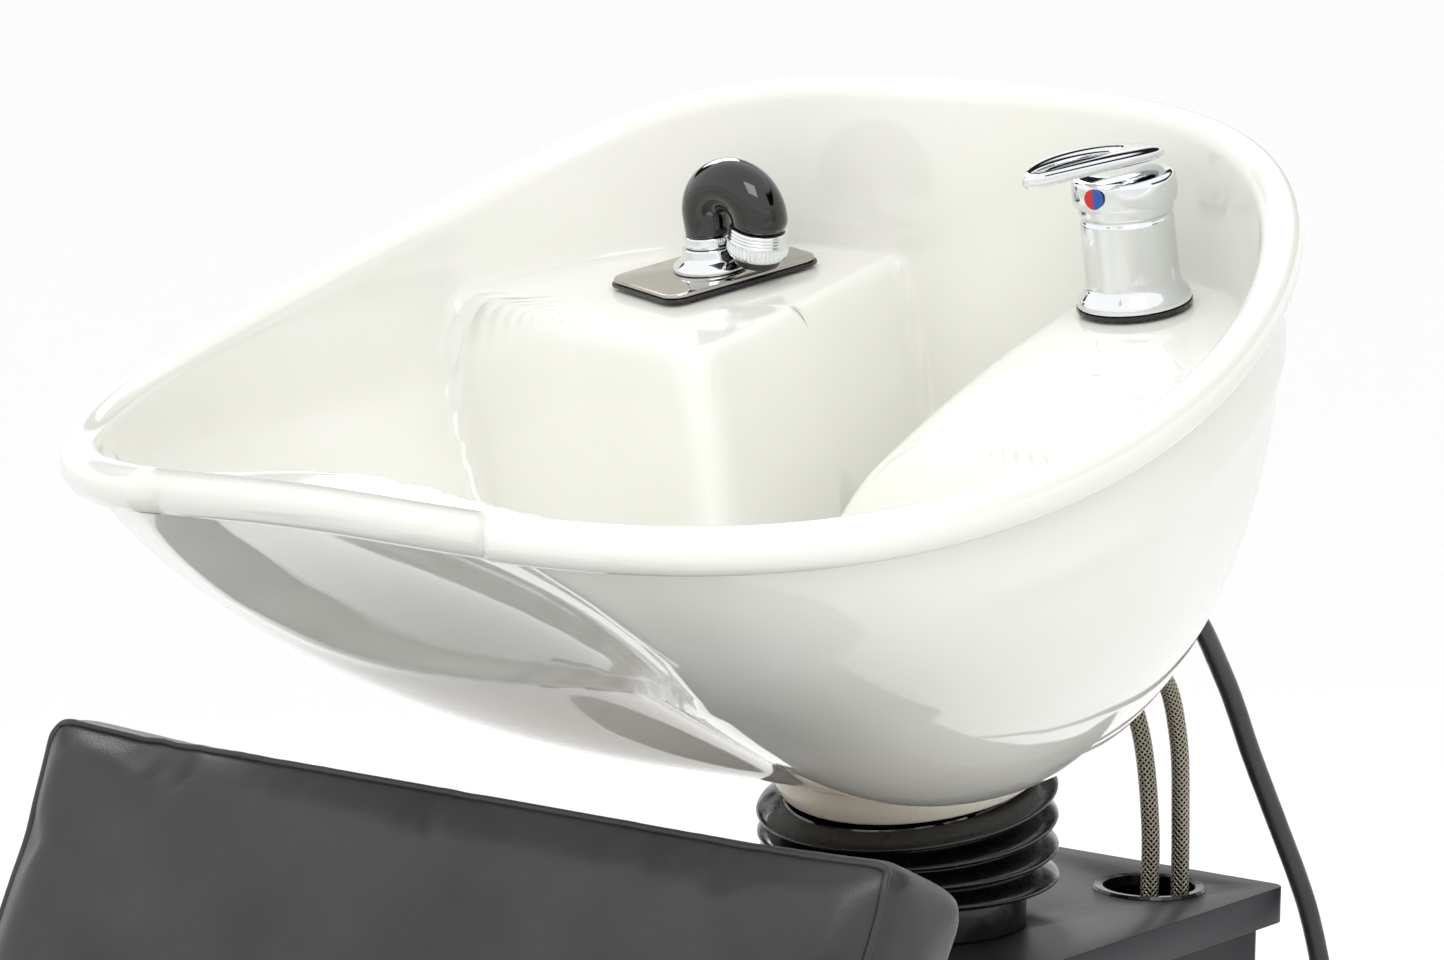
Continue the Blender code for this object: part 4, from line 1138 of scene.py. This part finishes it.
        def knurl(angle: Points, height: Points) -> Points:
            """Radius of the knurls, full between 8 and 13 mm along the collar."""
            return 0.0004 * np.cos(44.0 * angle) * ease((height - 0.0075) / 0.0006) * ease(
                (0.0134 - height) / 0.0006
            )

        profile = even_path(np.pad(eased_profile(grooves, 4), ((0, 0), (0, 1))), 0.00035)[:, :2]
        profile[0, 0] = profile[-1, 0] = 0.0
        piece = skin("spray_knurled_collar", self.mouth(lathe(profile, 264, knurl)))
        settle(piece, "spray_tip", CHROME, ["spray_collar"])
        rose = eased_profile(
            [(0.0, 0.0158, 0.0), (0.0130, 0.0158, 0.001), (0.0123, 0.0205, 0.002), (0.0, 0.0205, 0.0)]
        )
        piece = skin("spray_rose", self.mouth(lathe(rose, 64)))
        settle(piece, "spray_tip", RUBBER, ["spray_nozzle"])

    def build(self) -> None:
        """Makes the dock and the spray."""
        self.plate()
        self.flange()
        self.elbow()
        self.tip()


# ------------------------------------------------------------------ hoses and bellows


@dataclass
class Hoses:
    """Two braided supply hoses into the cabinet and the spray's own hose, which hangs in a loop behind it."""

    bowl: Bowl
    radius: float = 0.005
    spray_radius: float = 0.0055
    nut_length: float = 0.018
    clearance: float = 0.0010
    lead: float = 0.014
    gap: float = 0.0012
    valve_top: float = 0.2763
    valves: dict = field(default_factory=lambda: {"hot": 0.080, "cold": 0.040})
    inlets: dict = field(
        default_factory=lambda: {
            "hot_inlet_nut": (2.640, 0.905, 0.0085),
            "cold_inlet_nut": (2.800, 0.925, 0.0085),
            "mixer_outlet_nut": (2.561, 0.800, 0.0100),
            "spray_inlet_nut": (-2.561, 0.800, 0.0100),
        }
    )
    hot: tuple = (
        (0.0785, 0.1245, 0.6805),
        (0.0785, 0.1400, 0.646),
        (0.0775, 0.1460, 0.600),
        (0.0770, 0.1480, 0.558),
        (0.0775, 0.1480, 0.500),
        (0.0795, 0.1410, 0.400),
    )
    cold: tuple = (
        (0.0500, 0.1250, 0.6800),
        (0.0560, 0.1370, 0.648),
        (0.0630, 0.1380, 0.600),
        (0.0650, 0.1360, 0.558),
        (0.0610, 0.1370, 0.500),
        (0.0470, 0.1370, 0.400),
    )
    spray: tuple = (
        (0.1070, 0.1400, 0.682),
        (0.1100, 0.1650, 0.637),
        (0.1150, 0.1870, 0.595),
        (0.1205, 0.2020, 0.562),
        (0.1250, 0.2080, 0.540),
        (0.131, 0.214, 0.500),
        (0.133, 0.220, 0.420),
        (0.128, 0.224, 0.330),
        (0.108, 0.226, 0.240),
        (0.066, 0.228, 0.175),
        (0.005, 0.229, 0.152),
        (-0.052, 0.228, 0.176),
        (-0.090, 0.226, 0.245),
        (-0.106, 0.222, 0.340),
        (-0.112, 0.217, 0.450),
        (-0.114, 0.209, 0.545),
        (-0.113, 0.187, 0.600),
        (-0.110, 0.150, 0.668),
    )

    def hull_place(self, name: str) -> tuple[Points, Points]:
        """A fitting's point on the bowl's skin and the outward direction there, in the bowl's frame."""
        angle, drop, _ = self.inlets[name]
        step = 0.002

        def at(turn: float, fall: float) -> Points:
            """The skin at one angle and drop."""
            return self.bowl.hull(np.array([turn]), np.array([fall]))[0]

        along = at(angle + step, drop) - at(angle - step, drop)
        down = at(angle, drop + step) - at(angle, drop - step)
        outward = np.cross(down, along)
        return at(angle, drop), outward / np.linalg.norm(outward)

    def nut_face(self, name: str) -> list[Points]:
        """Where a hose meets its nut's end, and the point just beyond it."""
        point, outward = self.hull_place(name)
        reach = self.clearance + self.nut_length + self.gap
        return [in_world(point + outward * reach), in_world(point + outward * (reach + self.lead))]

    def nuts(self) -> None:
        """Hexagon union nuts: the radius of a six-sided bar at each angle, chamfered at both ends."""
        for name, (_, _, radius) in self.inlets.items():
            point, outward = self.hull_place(name)
            across = np.cross(outward, (0.0, 0.0, 1.0))
            across /= np.linalg.norm(across)
            profile = eased_profile(
                [
                    (0.0, 0.0, 0.0),
                    (radius * 0.86, 0.0, 0.0),
                    (radius, 0.0016, 0.0),
                    (radius, self.nut_length - 0.0016, 0.0),
                ]
                + [(radius * 0.86, self.nut_length, 0.0), (0.0, self.nut_length, 0.0)]
            )

            def flats(turn: Points, height: Points, reach: float = radius) -> Points:
                """How far the hexagon lies inside its circle, from the angle to the nearest flat."""
                to_flat = (turn + math.pi / 6.0) % (math.pi / 3.0) - math.pi / 6.0
                return -reach * (1.0 - math.cos(math.pi / 6.0) / np.cos(to_flat))

            rings = lathe(profile, 60, flats) @ np.array([across, np.cross(outward, across), outward])
            piece = skin(name + "_hexagon", in_world(rings + point + outward * self.clearance))
            crease(piece, 25.0)
            settle(piece, BOWL_BODY, CHROME, [name])

    def supply(self) -> None:
        """The braided hoses, from the bowl's nuts to the stop valves."""
        for name, middle in (("hot", self.hot), ("cold", self.cold)):
            x = self.valves[name]
            route = [
                *self.nut_face(f"{name}_inlet_nut"), *middle, (x, 0.135, 0.300), (x, 0.135, self.valve_top)
            ]
            path = through_points(route, 0.003)
            piece = skin(f"{name}_braided_hose", tube_rings(path, self.radius, 24), uv=True)
            settle(piece, None, BRAID, [f"{name}_supply_hose"])
            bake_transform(piece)

    def spray_loop(self) -> None:
        """The spray's smooth hose: down behind the cabinet from the mixer and up again to the dock."""
        route = [*self.nut_face("mixer_outlet_nut"), *self.spray, *reversed(self.nut_face("spray_inlet_nut"))]
        path = through_points(route, 0.006)
        piece = skin("spray_pvc_hose", tube_rings(path, self.spray_radius, 28), uv=True)
        settle(piece, None, HOSE_PVC, ["spray_hose"])
        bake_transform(piece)

    def build(self) -> None:
        """Makes the hoses and their nuts."""
        self.supply()
        self.spray_loop()
        self.nuts()


@dataclass
class Bellows:
    """The rubber gaiter between lid and bowl: a plain neck under four folds that lean with the bowl."""

    low: float = 0.5603
    folds_from: float = 0.578
    high: float = 0.6350
    neck: float = 0.0625
    valley: float = 0.0675
    fold: float = 0.0798
    count: int = 4
    wall: float = 0.0030

    def build(self) -> None:
        """Makes the gaiter: the radius is a sharpened cosine of the height, and the rings lean near the top."""
        t = np.linspace(0.0, 1.0, 140)
        height = self.low + (self.high - self.low) * t
        phase = np.clip((height - self.folds_from) / (self.high - self.folds_from), 0.0, 1.0) * self.count
        wave = (0.5 - 0.5 * np.cos(2.0 * math.pi * phase)) ** 0.65
        lower = self.neck + (self.valley - self.neck) * ease((height - self.folds_from) / 0.012)
        outside = np.stack([lower + (self.fold - lower) * wave, height], -1)
        inside = outside[::-1] - np.array([self.wall, 0.0])
        profile = np.vstack([outside, inside])
        rings = lathe(profile, 120)
        share = np.clip((profile[:, 1] - self.folds_from) / (self.high - self.folds_from), 0.0, 1.0)[:, None]
        lean = math.tan(TILT) * share * rings[..., 1]
        rings[..., 1] -= 0.004 * share
        rings[..., 2] += lean - 0.0005 * share
        piece = skin("gaiter", rings, Ends.JOINED)
        settle(piece, None, RUBBER, ["bellows"])
        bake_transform(piece)


# ------------------------------------------------------------------ upholstery


@dataclass
class Cushion:
    """A foam cushion in vinyl: a rounded block blown up by the cloth solver, with piping round its face."""

    name: str
    node: str
    size: tuple[float, float, float]
    centre: tuple[float, float, float]
    turn: Matrix
    crown: float
    pressure: float = 4.0
    voxel: float = 0.0055
    corner: float = 0.016
    shrink: float = 0.004
    face: tuple[int, int] = (1, -1)
    piping: float = 0.0019

    def block(self) -> bpy.types.Object:
        """The block before it swells: a cube with rounded edges, remeshed to even cells."""
        bm = bmesh.new()
        bmesh.ops.create_cube(bm, size=1.0)
        bmesh.ops.scale(bm, vec=[s - 2.0 * self.shrink for s in self.size], verts=bm.verts)
        bmesh.ops.bevel(bm, geom=list(bm.edges), offset=self.corner, segments=5, profile=0.5, affect="EDGES")
        mesh = bpy.data.meshes.new(self.name)
        bm.to_mesh(mesh)
        bm.free()
        obj = bpy.data.objects.new(self.name, mesh)
        bpy.context.scene.collection.objects.link(obj)
        remesh = obj.modifiers.new("even_cells", "REMESH")
        remesh.mode = "VOXEL"
        remesh.voxel_size = self.voxel
        self.apply(obj)
        return obj

    @staticmethod
    def apply(obj: bpy.types.Object) -> None:
        """Bakes the object's modifiers into its mesh."""
        graph = bpy.context.evaluated_depsgraph_get()
        made = bpy.data.meshes.new_from_object(obj.evaluated_get(graph))
        obj.modifiers.clear()
        old, obj.data = obj.data, made
        bpy.data.meshes.remove(old)

    def swell(self, obj: bpy.types.Object) -> None:
        """Blows the block up with cloth pressure for 20 frames, then caps how far each point moved."""
        rest = np.empty(len(obj.data.vertices) * 3)
        obj.data.vertices.foreach_get("co", rest)
        rest = rest.reshape(-1, 3)
        cloth = obj.modifiers.new("swell", "CLOTH")
        cloth.settings.use_pressure = True
        cloth.settings.uniform_pressure_force = self.pressure
        cloth.settings.effector_weights.gravity = 0.0
        cloth.settings.quality = 4
        scene = bpy.context.scene
        for frame in range(1, 21):
            scene.frame_set(frame)
        self.apply(obj)
        scene.frame_set(1)
        points = np.empty(len(obj.data.vertices) * 3)
        obj.data.vertices.foreach_get("co", points)
        points = points.reshape(-1, 3)
        shift = points - rest
        far = np.linalg.norm(shift, axis=1, keepdims=True)
        cap = self.crown
        points = rest + shift * np.minimum(1.0, cap / np.maximum(far, 1e-9))
        obj.data.vertices.foreach_set("co", points.ravel())
        obj.data.update()

    def loop(self, inset: float, side: float) -> Points:
        """A rounded rectangle on one face of the block, a little inside its edge.

        Args:
            inset: Distance from the block's edge.
            side: -1 for the lower face along the face's axis, 1 for the upper.

        Returns:
            Closed path of points.
        """
        axis = self.face[0]
        across = [i for i in range(3) if i != axis]
        halves = [0.5 * self.size[i] - inset for i in across]
        outline = rounded_outline(halves[0], halves[1], self.corner, 16)
        outline = np.vstack([outline, outline[:1]])
        fine = even_path(np.pad(outline, ((0, 0), (0, 1))), 0.004)
        points = np.zeros_like(fine)
        points[:, across[0]], points[:, across[1]] = fine[:, 0], fine[:, 1]
        points[:, axis] = side * 0.5 * self.size[axis]
        return points

    def seams(self, obj: bpy.types.Object) -> bpy.types.Object:
        """Piping laid on the swollen skin along the face's edge, half sunk, as a closed round tube.

        Args:
            obj: The swollen cushion, in its own frame.

        Returns:
            The piping, in the same frame.
        """
        bm = bmesh.new()
        bm.from_mesh(obj.data)
        tree = BVHTree.FromBMesh(bm)
        loop = self.loop(0.0050, self.face[1])
        laid = []
        for point in loop[:-1]:
            place, normal, _, _ = tree.find_nearest(Vector(point))
            laid.append(place + normal * 0.0004)
        bm.free()
        path = np.array(laid)
        smooth = (np.roll(path, 1, 0) + 2.0 * path + np.roll(path, -1, 0)) / 4.0
        closed = np.vstack([smooth[-1:], smooth, smooth[:1]])
        rings = tube_rings(closed, self.piping, 12)[1:-1]
        return skin(self.name + "_piping", rings, Ends.JOINED)

    def place(self, obj: bpy.types.Object) -> None:
        """Bakes the cushion's turn and centre into a mesh."""
        obj.data.transform(Matrix.Translation(self.centre) @ self.turn.to_4x4())
        obj.data.update()

    def build(self) -> None:
        """Makes the cushion and its piping."""
        obj = self.block()
        self.swell(obj)
        piping = self.seams(obj)
        finer = obj.modifiers.new("finer", "SUBSURF")
        finer.levels = finer.render_levels = 1
        self.apply(obj)
        obj.data.shade_smooth()
        for piece in (obj, piping):
            self.place(piece)
        settle(obj, ROOT, VINYL, [self.node])
        settle(piping, ROOT, VINYL)


@dataclass
class Chair:
    """The reclined chair: seat and backrest cushions, padded arms on bent tube."""

    recline: float = math.radians(25.0)
    back_top: tuple[float, float] = (-0.380, 0.708)
    back_size: tuple[float, float, float] = (0.540, 0.080, 0.360)
    arm_x: float = 0.290
    arm_top: float = 0.560
    arm_tube: float = 0.0125
    arm_rear: float = -0.600
    arm_front: float = -0.890
    pan_low: float = 0.285

    def cushions(self) -> None:
        """Backrest and seat cushions in their CAD places."""
        lean = Matrix.Rotation(-self.recline, 3, "X")
        local = Vector((0.0, 0.5 * self.back_size[1], -0.5 * self.back_size[2]))
        centre = lean @ local + Vector((0.0, *self.back_top))
        Cushion("backrest_pad", "backrest_cushion", self.back_size, tuple(centre), lean, 0.009).build()
        low, high = (np.array(corner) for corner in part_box("seat_cushion"))
        middle = 0.5 * (low + high)
        Cushion(
            "seat_pad", "seat_cushion", tuple(high - low), tuple(middle), Matrix.Identity(3), 0.010, face=(
                2, 1
            )
        ).build()

    def arm_pads(self) -> None:
        """Arm pads: rounded bars whose section and plan are superellipses, flat where they sit on the tube."""
        for name in ("left", "right"):
            low, high = (np.array(corner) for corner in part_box(f"arm_pad_{name}"))
            middle, half = 0.5 * (low + high), 0.5 * (high - low)
            along = np.sin(np.linspace(-0.5 * math.pi, 0.5 * math.pi, 70))[:, None]
            turn = np.linspace(0.0, 2.0 * math.pi, 56, endpoint=False)[None, :]
            plan = (1.0 - np.abs(along) ** 9) ** (1.0 / 3.0)
            x = np.sign(np.cos(turn)) * np.abs(np.cos(turn)) ** 0.55 * plan
            z = np.sign(np.sin(turn)) * np.abs(np.sin(turn)) ** 0.55 * plan**0.8
            z = np.where(z < 0.0, z, z * (1.0 - 0.10 * along**2))
            rings = np.stack([x * half[0], along * half[1] + 0.0 * x, z * half[2]], -1) + middle
            pad = skin(f"arm_rest_{name}", rings)
            settle(pad, ROOT, VINYL, [f"arm_pad_{name}"])

    def arm_tubes(self) -> None:
        """Steel hoops: a round tube up, through a 50 mm bend, along and down again."""
        corner = 0.050
        for side, name in ((-1, "right"), (1, "left")):
            x = side * self.arm_x
            path = [np.array([[x, self.arm_rear, self.pan_low]])]
            for centre_y, first in ((self.arm_rear - corner, 0.0), (self.arm_front + corner, 0.5 * math.pi)):
                turn = first + np.linspace(0.0, 0.5 * math.pi, 14)
                y = centre_y + corner * np.cos(turn)
                z = self.arm_top - corner + corner * np.sin(turn)
                path.append(np.column_stack([np.full(14, x), y, z]))
            path.append(np.array([[x, self.arm_front, self.pan_low]]))
            rings = tube_rings(even_path(np.vstack(path), 0.006), self.arm_tube - 0.0001, 32)
            piece = skin(f"arm_hoop_{name}", rings)
            crease(piece)
            settle(piece, ROOT, COAT, [f"arm_tube_{name}"])

    def build(self) -> None:
        """Makes the chair's soft parts and arms."""
        self.cushions()
        self.arm_pads()
        self.arm_tubes()


# ------------------------------------------------------------------ metalwork and carried-over nodes


@dataclass
class Metalwork:
    """Folded and cut sheet: nodes copied with broken edges, and small nodes that keep their own mesh."""

    eased: dict = field(
        default_factory=lambda: {
            "cabinet_lid": (ROOT, COAT, 1.0 * MM),
            "cabinet_shell": (ROOT, COAT, 0.8 * MM),
            "service_door": ("door", COAT, 0.6 * MM),
            "base_plate": (ROOT, COAT, 1.2 * MM),
            "seat_pedestal": (ROOT, COAT, 0.8 * MM),
            "seat_pan": (ROOT, COAT, 1.5 * MM),
            "backrest_bar_left": (ROOT, COAT, 0.8 * MM),
            "backrest_bar_right": (ROOT, COAT, 0.8 * MM),
            "backrest_board": (ROOT, PLY, 0.8 * MM),
            "seat_board": (ROOT, PLY, 0.8 * MM),
        }
    )
    kept: dict = field(
        default_factory=lambda: {
            COAT: ("column_tube", "column_flange", "yoke_ear_left", "yoke_ear_right"),
            STEEL: (
                "cradle_plate",
                "cradle_ear_left",
                "cradle_ear_right",
                "tilt_bolt_left",
                "tilt_bolt_right",
                "door_hinge_pin",
                "door_latch_tongue",
                "valve_bracket",
                "drain_strainer",
            ),
            CHROME: ("drain_body",),
            RUBBER: ("hose_grommet", "waste_boot", "tap_gasket"),
            GLOSS_ABS: ("door_latch_knob",),
            CREAM_ABS: ("waste_pipe",),
            BRASS: ("hot_stop_valve", "cold_stop_valve"),
            RED_ABS: ("hot_valve_handle",),
            BLUE_ABS: ("cold_valve_handle",),
            MARK: ("temperature_mark",),
        }
    )

    def build(self) -> None:
        """Makes the eased copies and dresses the nodes that stay."""
        for node, (body, finish, width) in self.eased.items():
            softened(node, body, finish, width)
        for finish, nodes in self.kept.items():
            for node in nodes:
                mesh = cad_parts[node].data
                mesh.materials.clear()
                mesh.materials.append(finish.material())
                LOG.info("%s dressed", node)


# ------------------------------------------------------------------ studio


@dataclass
class Studio:
    """A pale floor, soft lights and the camera."""

    eye: tuple[float, float, float] = (1.4641, -2.1051, 1.1683)
    right: tuple[float, float, float] = (0.79629, 0.60477, 0.01339)
    view: tuple[float, float, float] = (-0.59693, 0.78917, -0.14454)
    lens: float = 123.0

    def camera(self) -> None:
        """A long lens at the sitter's left, a little above the rim."""
        data = bpy.data.cameras.new("studio_camera")
        data.lens = self.lens
        data.sensor_width = 36.0
        data.clip_end = 100.0
        obj = bpy.data.objects.new("studio_camera", data)
        right, view = Vector(self.right), Vector(self.view)
        up = right.cross(view)
        turn = Matrix((right, up, -view)).transposed().to_4x4()
        obj.matrix_world = Matrix.Translation(self.eye) @ turn
        bpy.context.scene.collection.objects.link(obj)
        bpy.context.scene.camera = obj

    def light(
        self, name: str, place: Sequence[float], aim: Sequence[float], size: Sequence[float], watts: float
    ) -> None:
        """A rectangular soft light aimed at a point.

        Args:
            name: The light's name.
            place: Where it stands.
            aim: What it faces.
            size: Its width and height.
            watts: Its power.
        """
        data = bpy.data.lights.new(name, "AREA")
        data.shape = "RECTANGLE"
        data.size, data.size_y = size
        data.energy = watts
        obj = bpy.data.objects.new(name, data)
        obj.location = place
        obj.rotation_euler = (Vector(aim) - Vector(place)).to_track_quat("-Z", "Y").to_euler()
        bpy.context.scene.collection.objects.link(obj)

    def build(self) -> None:
        """Floor, lights and a white world. A dark band behind, 15 to 35 degrees up, is for plated parts to mirror."""
        half = 40.0
        mesh = bpy.data.meshes.new("studio_floor")
        mesh.from_pydata(
            [(-half, -half, 0), (half, -half, 0), (half, half, 0), (-half, half, 0)], [], [(0, 1, 2, 3)]
        )
        floor = bpy.data.objects.new("studio_floor", mesh)
        bpy.context.scene.collection.objects.link(floor)
        mesh.materials.append(Finish("pale_studio_floor", "studio", "FAFAFA", 0.9).material())
        world = bpy.data.worlds.new("studio_world")
        world.use_nodes = True
        sky = world.node_tree.nodes["Background"]
        place = add_node(world.node_tree, "ShaderNodeTexCoord")
        split = add_node(world.node_tree, "ShaderNodeSeparateXYZ", inputs={0: place.outputs["Generated"]})
        behind = add_node(
            world.node_tree, "ShaderNodeMath", {"operation": "GREATER_THAN"}, {0: split.outputs["Y"], 1: 0.05}
        )
        height = add_node(
            world.node_tree, "ShaderNodeMath", {"operation": "MULTIPLY"}, {
                0: split.outputs["Z"], 1: behind.outputs[0]
            }
        )
        band = add_node(world.node_tree, "ShaderNodeValToRGB", inputs={"Fac": height.outputs[0]})
        band.color_ramp.elements[0].position, band.color_ramp.elements[1].position = 0.24, 0.30
        band.color_ramp.elements[1].color = linear("1E1E20")
        for level, tone in ((0.56, "1E1E20"), (0.64, "FFFFFF")):
            band.color_ramp.elements.new(level).color = linear(tone)
        band.color_ramp.elements[0].color = linear("FFFFFF")
        world.node_tree.links.new(band.outputs["Color"], sky.inputs["Color"])
        sky.inputs["Strength"].default_value = 1.2
        bpy.context.scene.world = world
        bpy.context.scene.view_settings.view_transform = "Standard"
        self.light("key_softbox", (1.2, -1.6, 2.6), (0.0, -0.1, 0.85), (1.2, 1.2), 16.0)
        self.light("back_softbox", (-1.6, 1.2, 2.2), (0.0, -0.1, 0.85), (1.2, 0.8), 25.0)


def main() -> None:
    """Builds the studio, the hoses and then each sub-assembly in order."""
    studio = Studio()
    studio.camera()
    bowl = Bowl()
    Hoses(bowl).build()
    bowl.build()
    LeverTap().build()
    PullOutSpray().build()
    Bellows().build()
    Metalwork().build()
    Chair().build()
    studio.build()


if __name__ == "__main__":
    main()
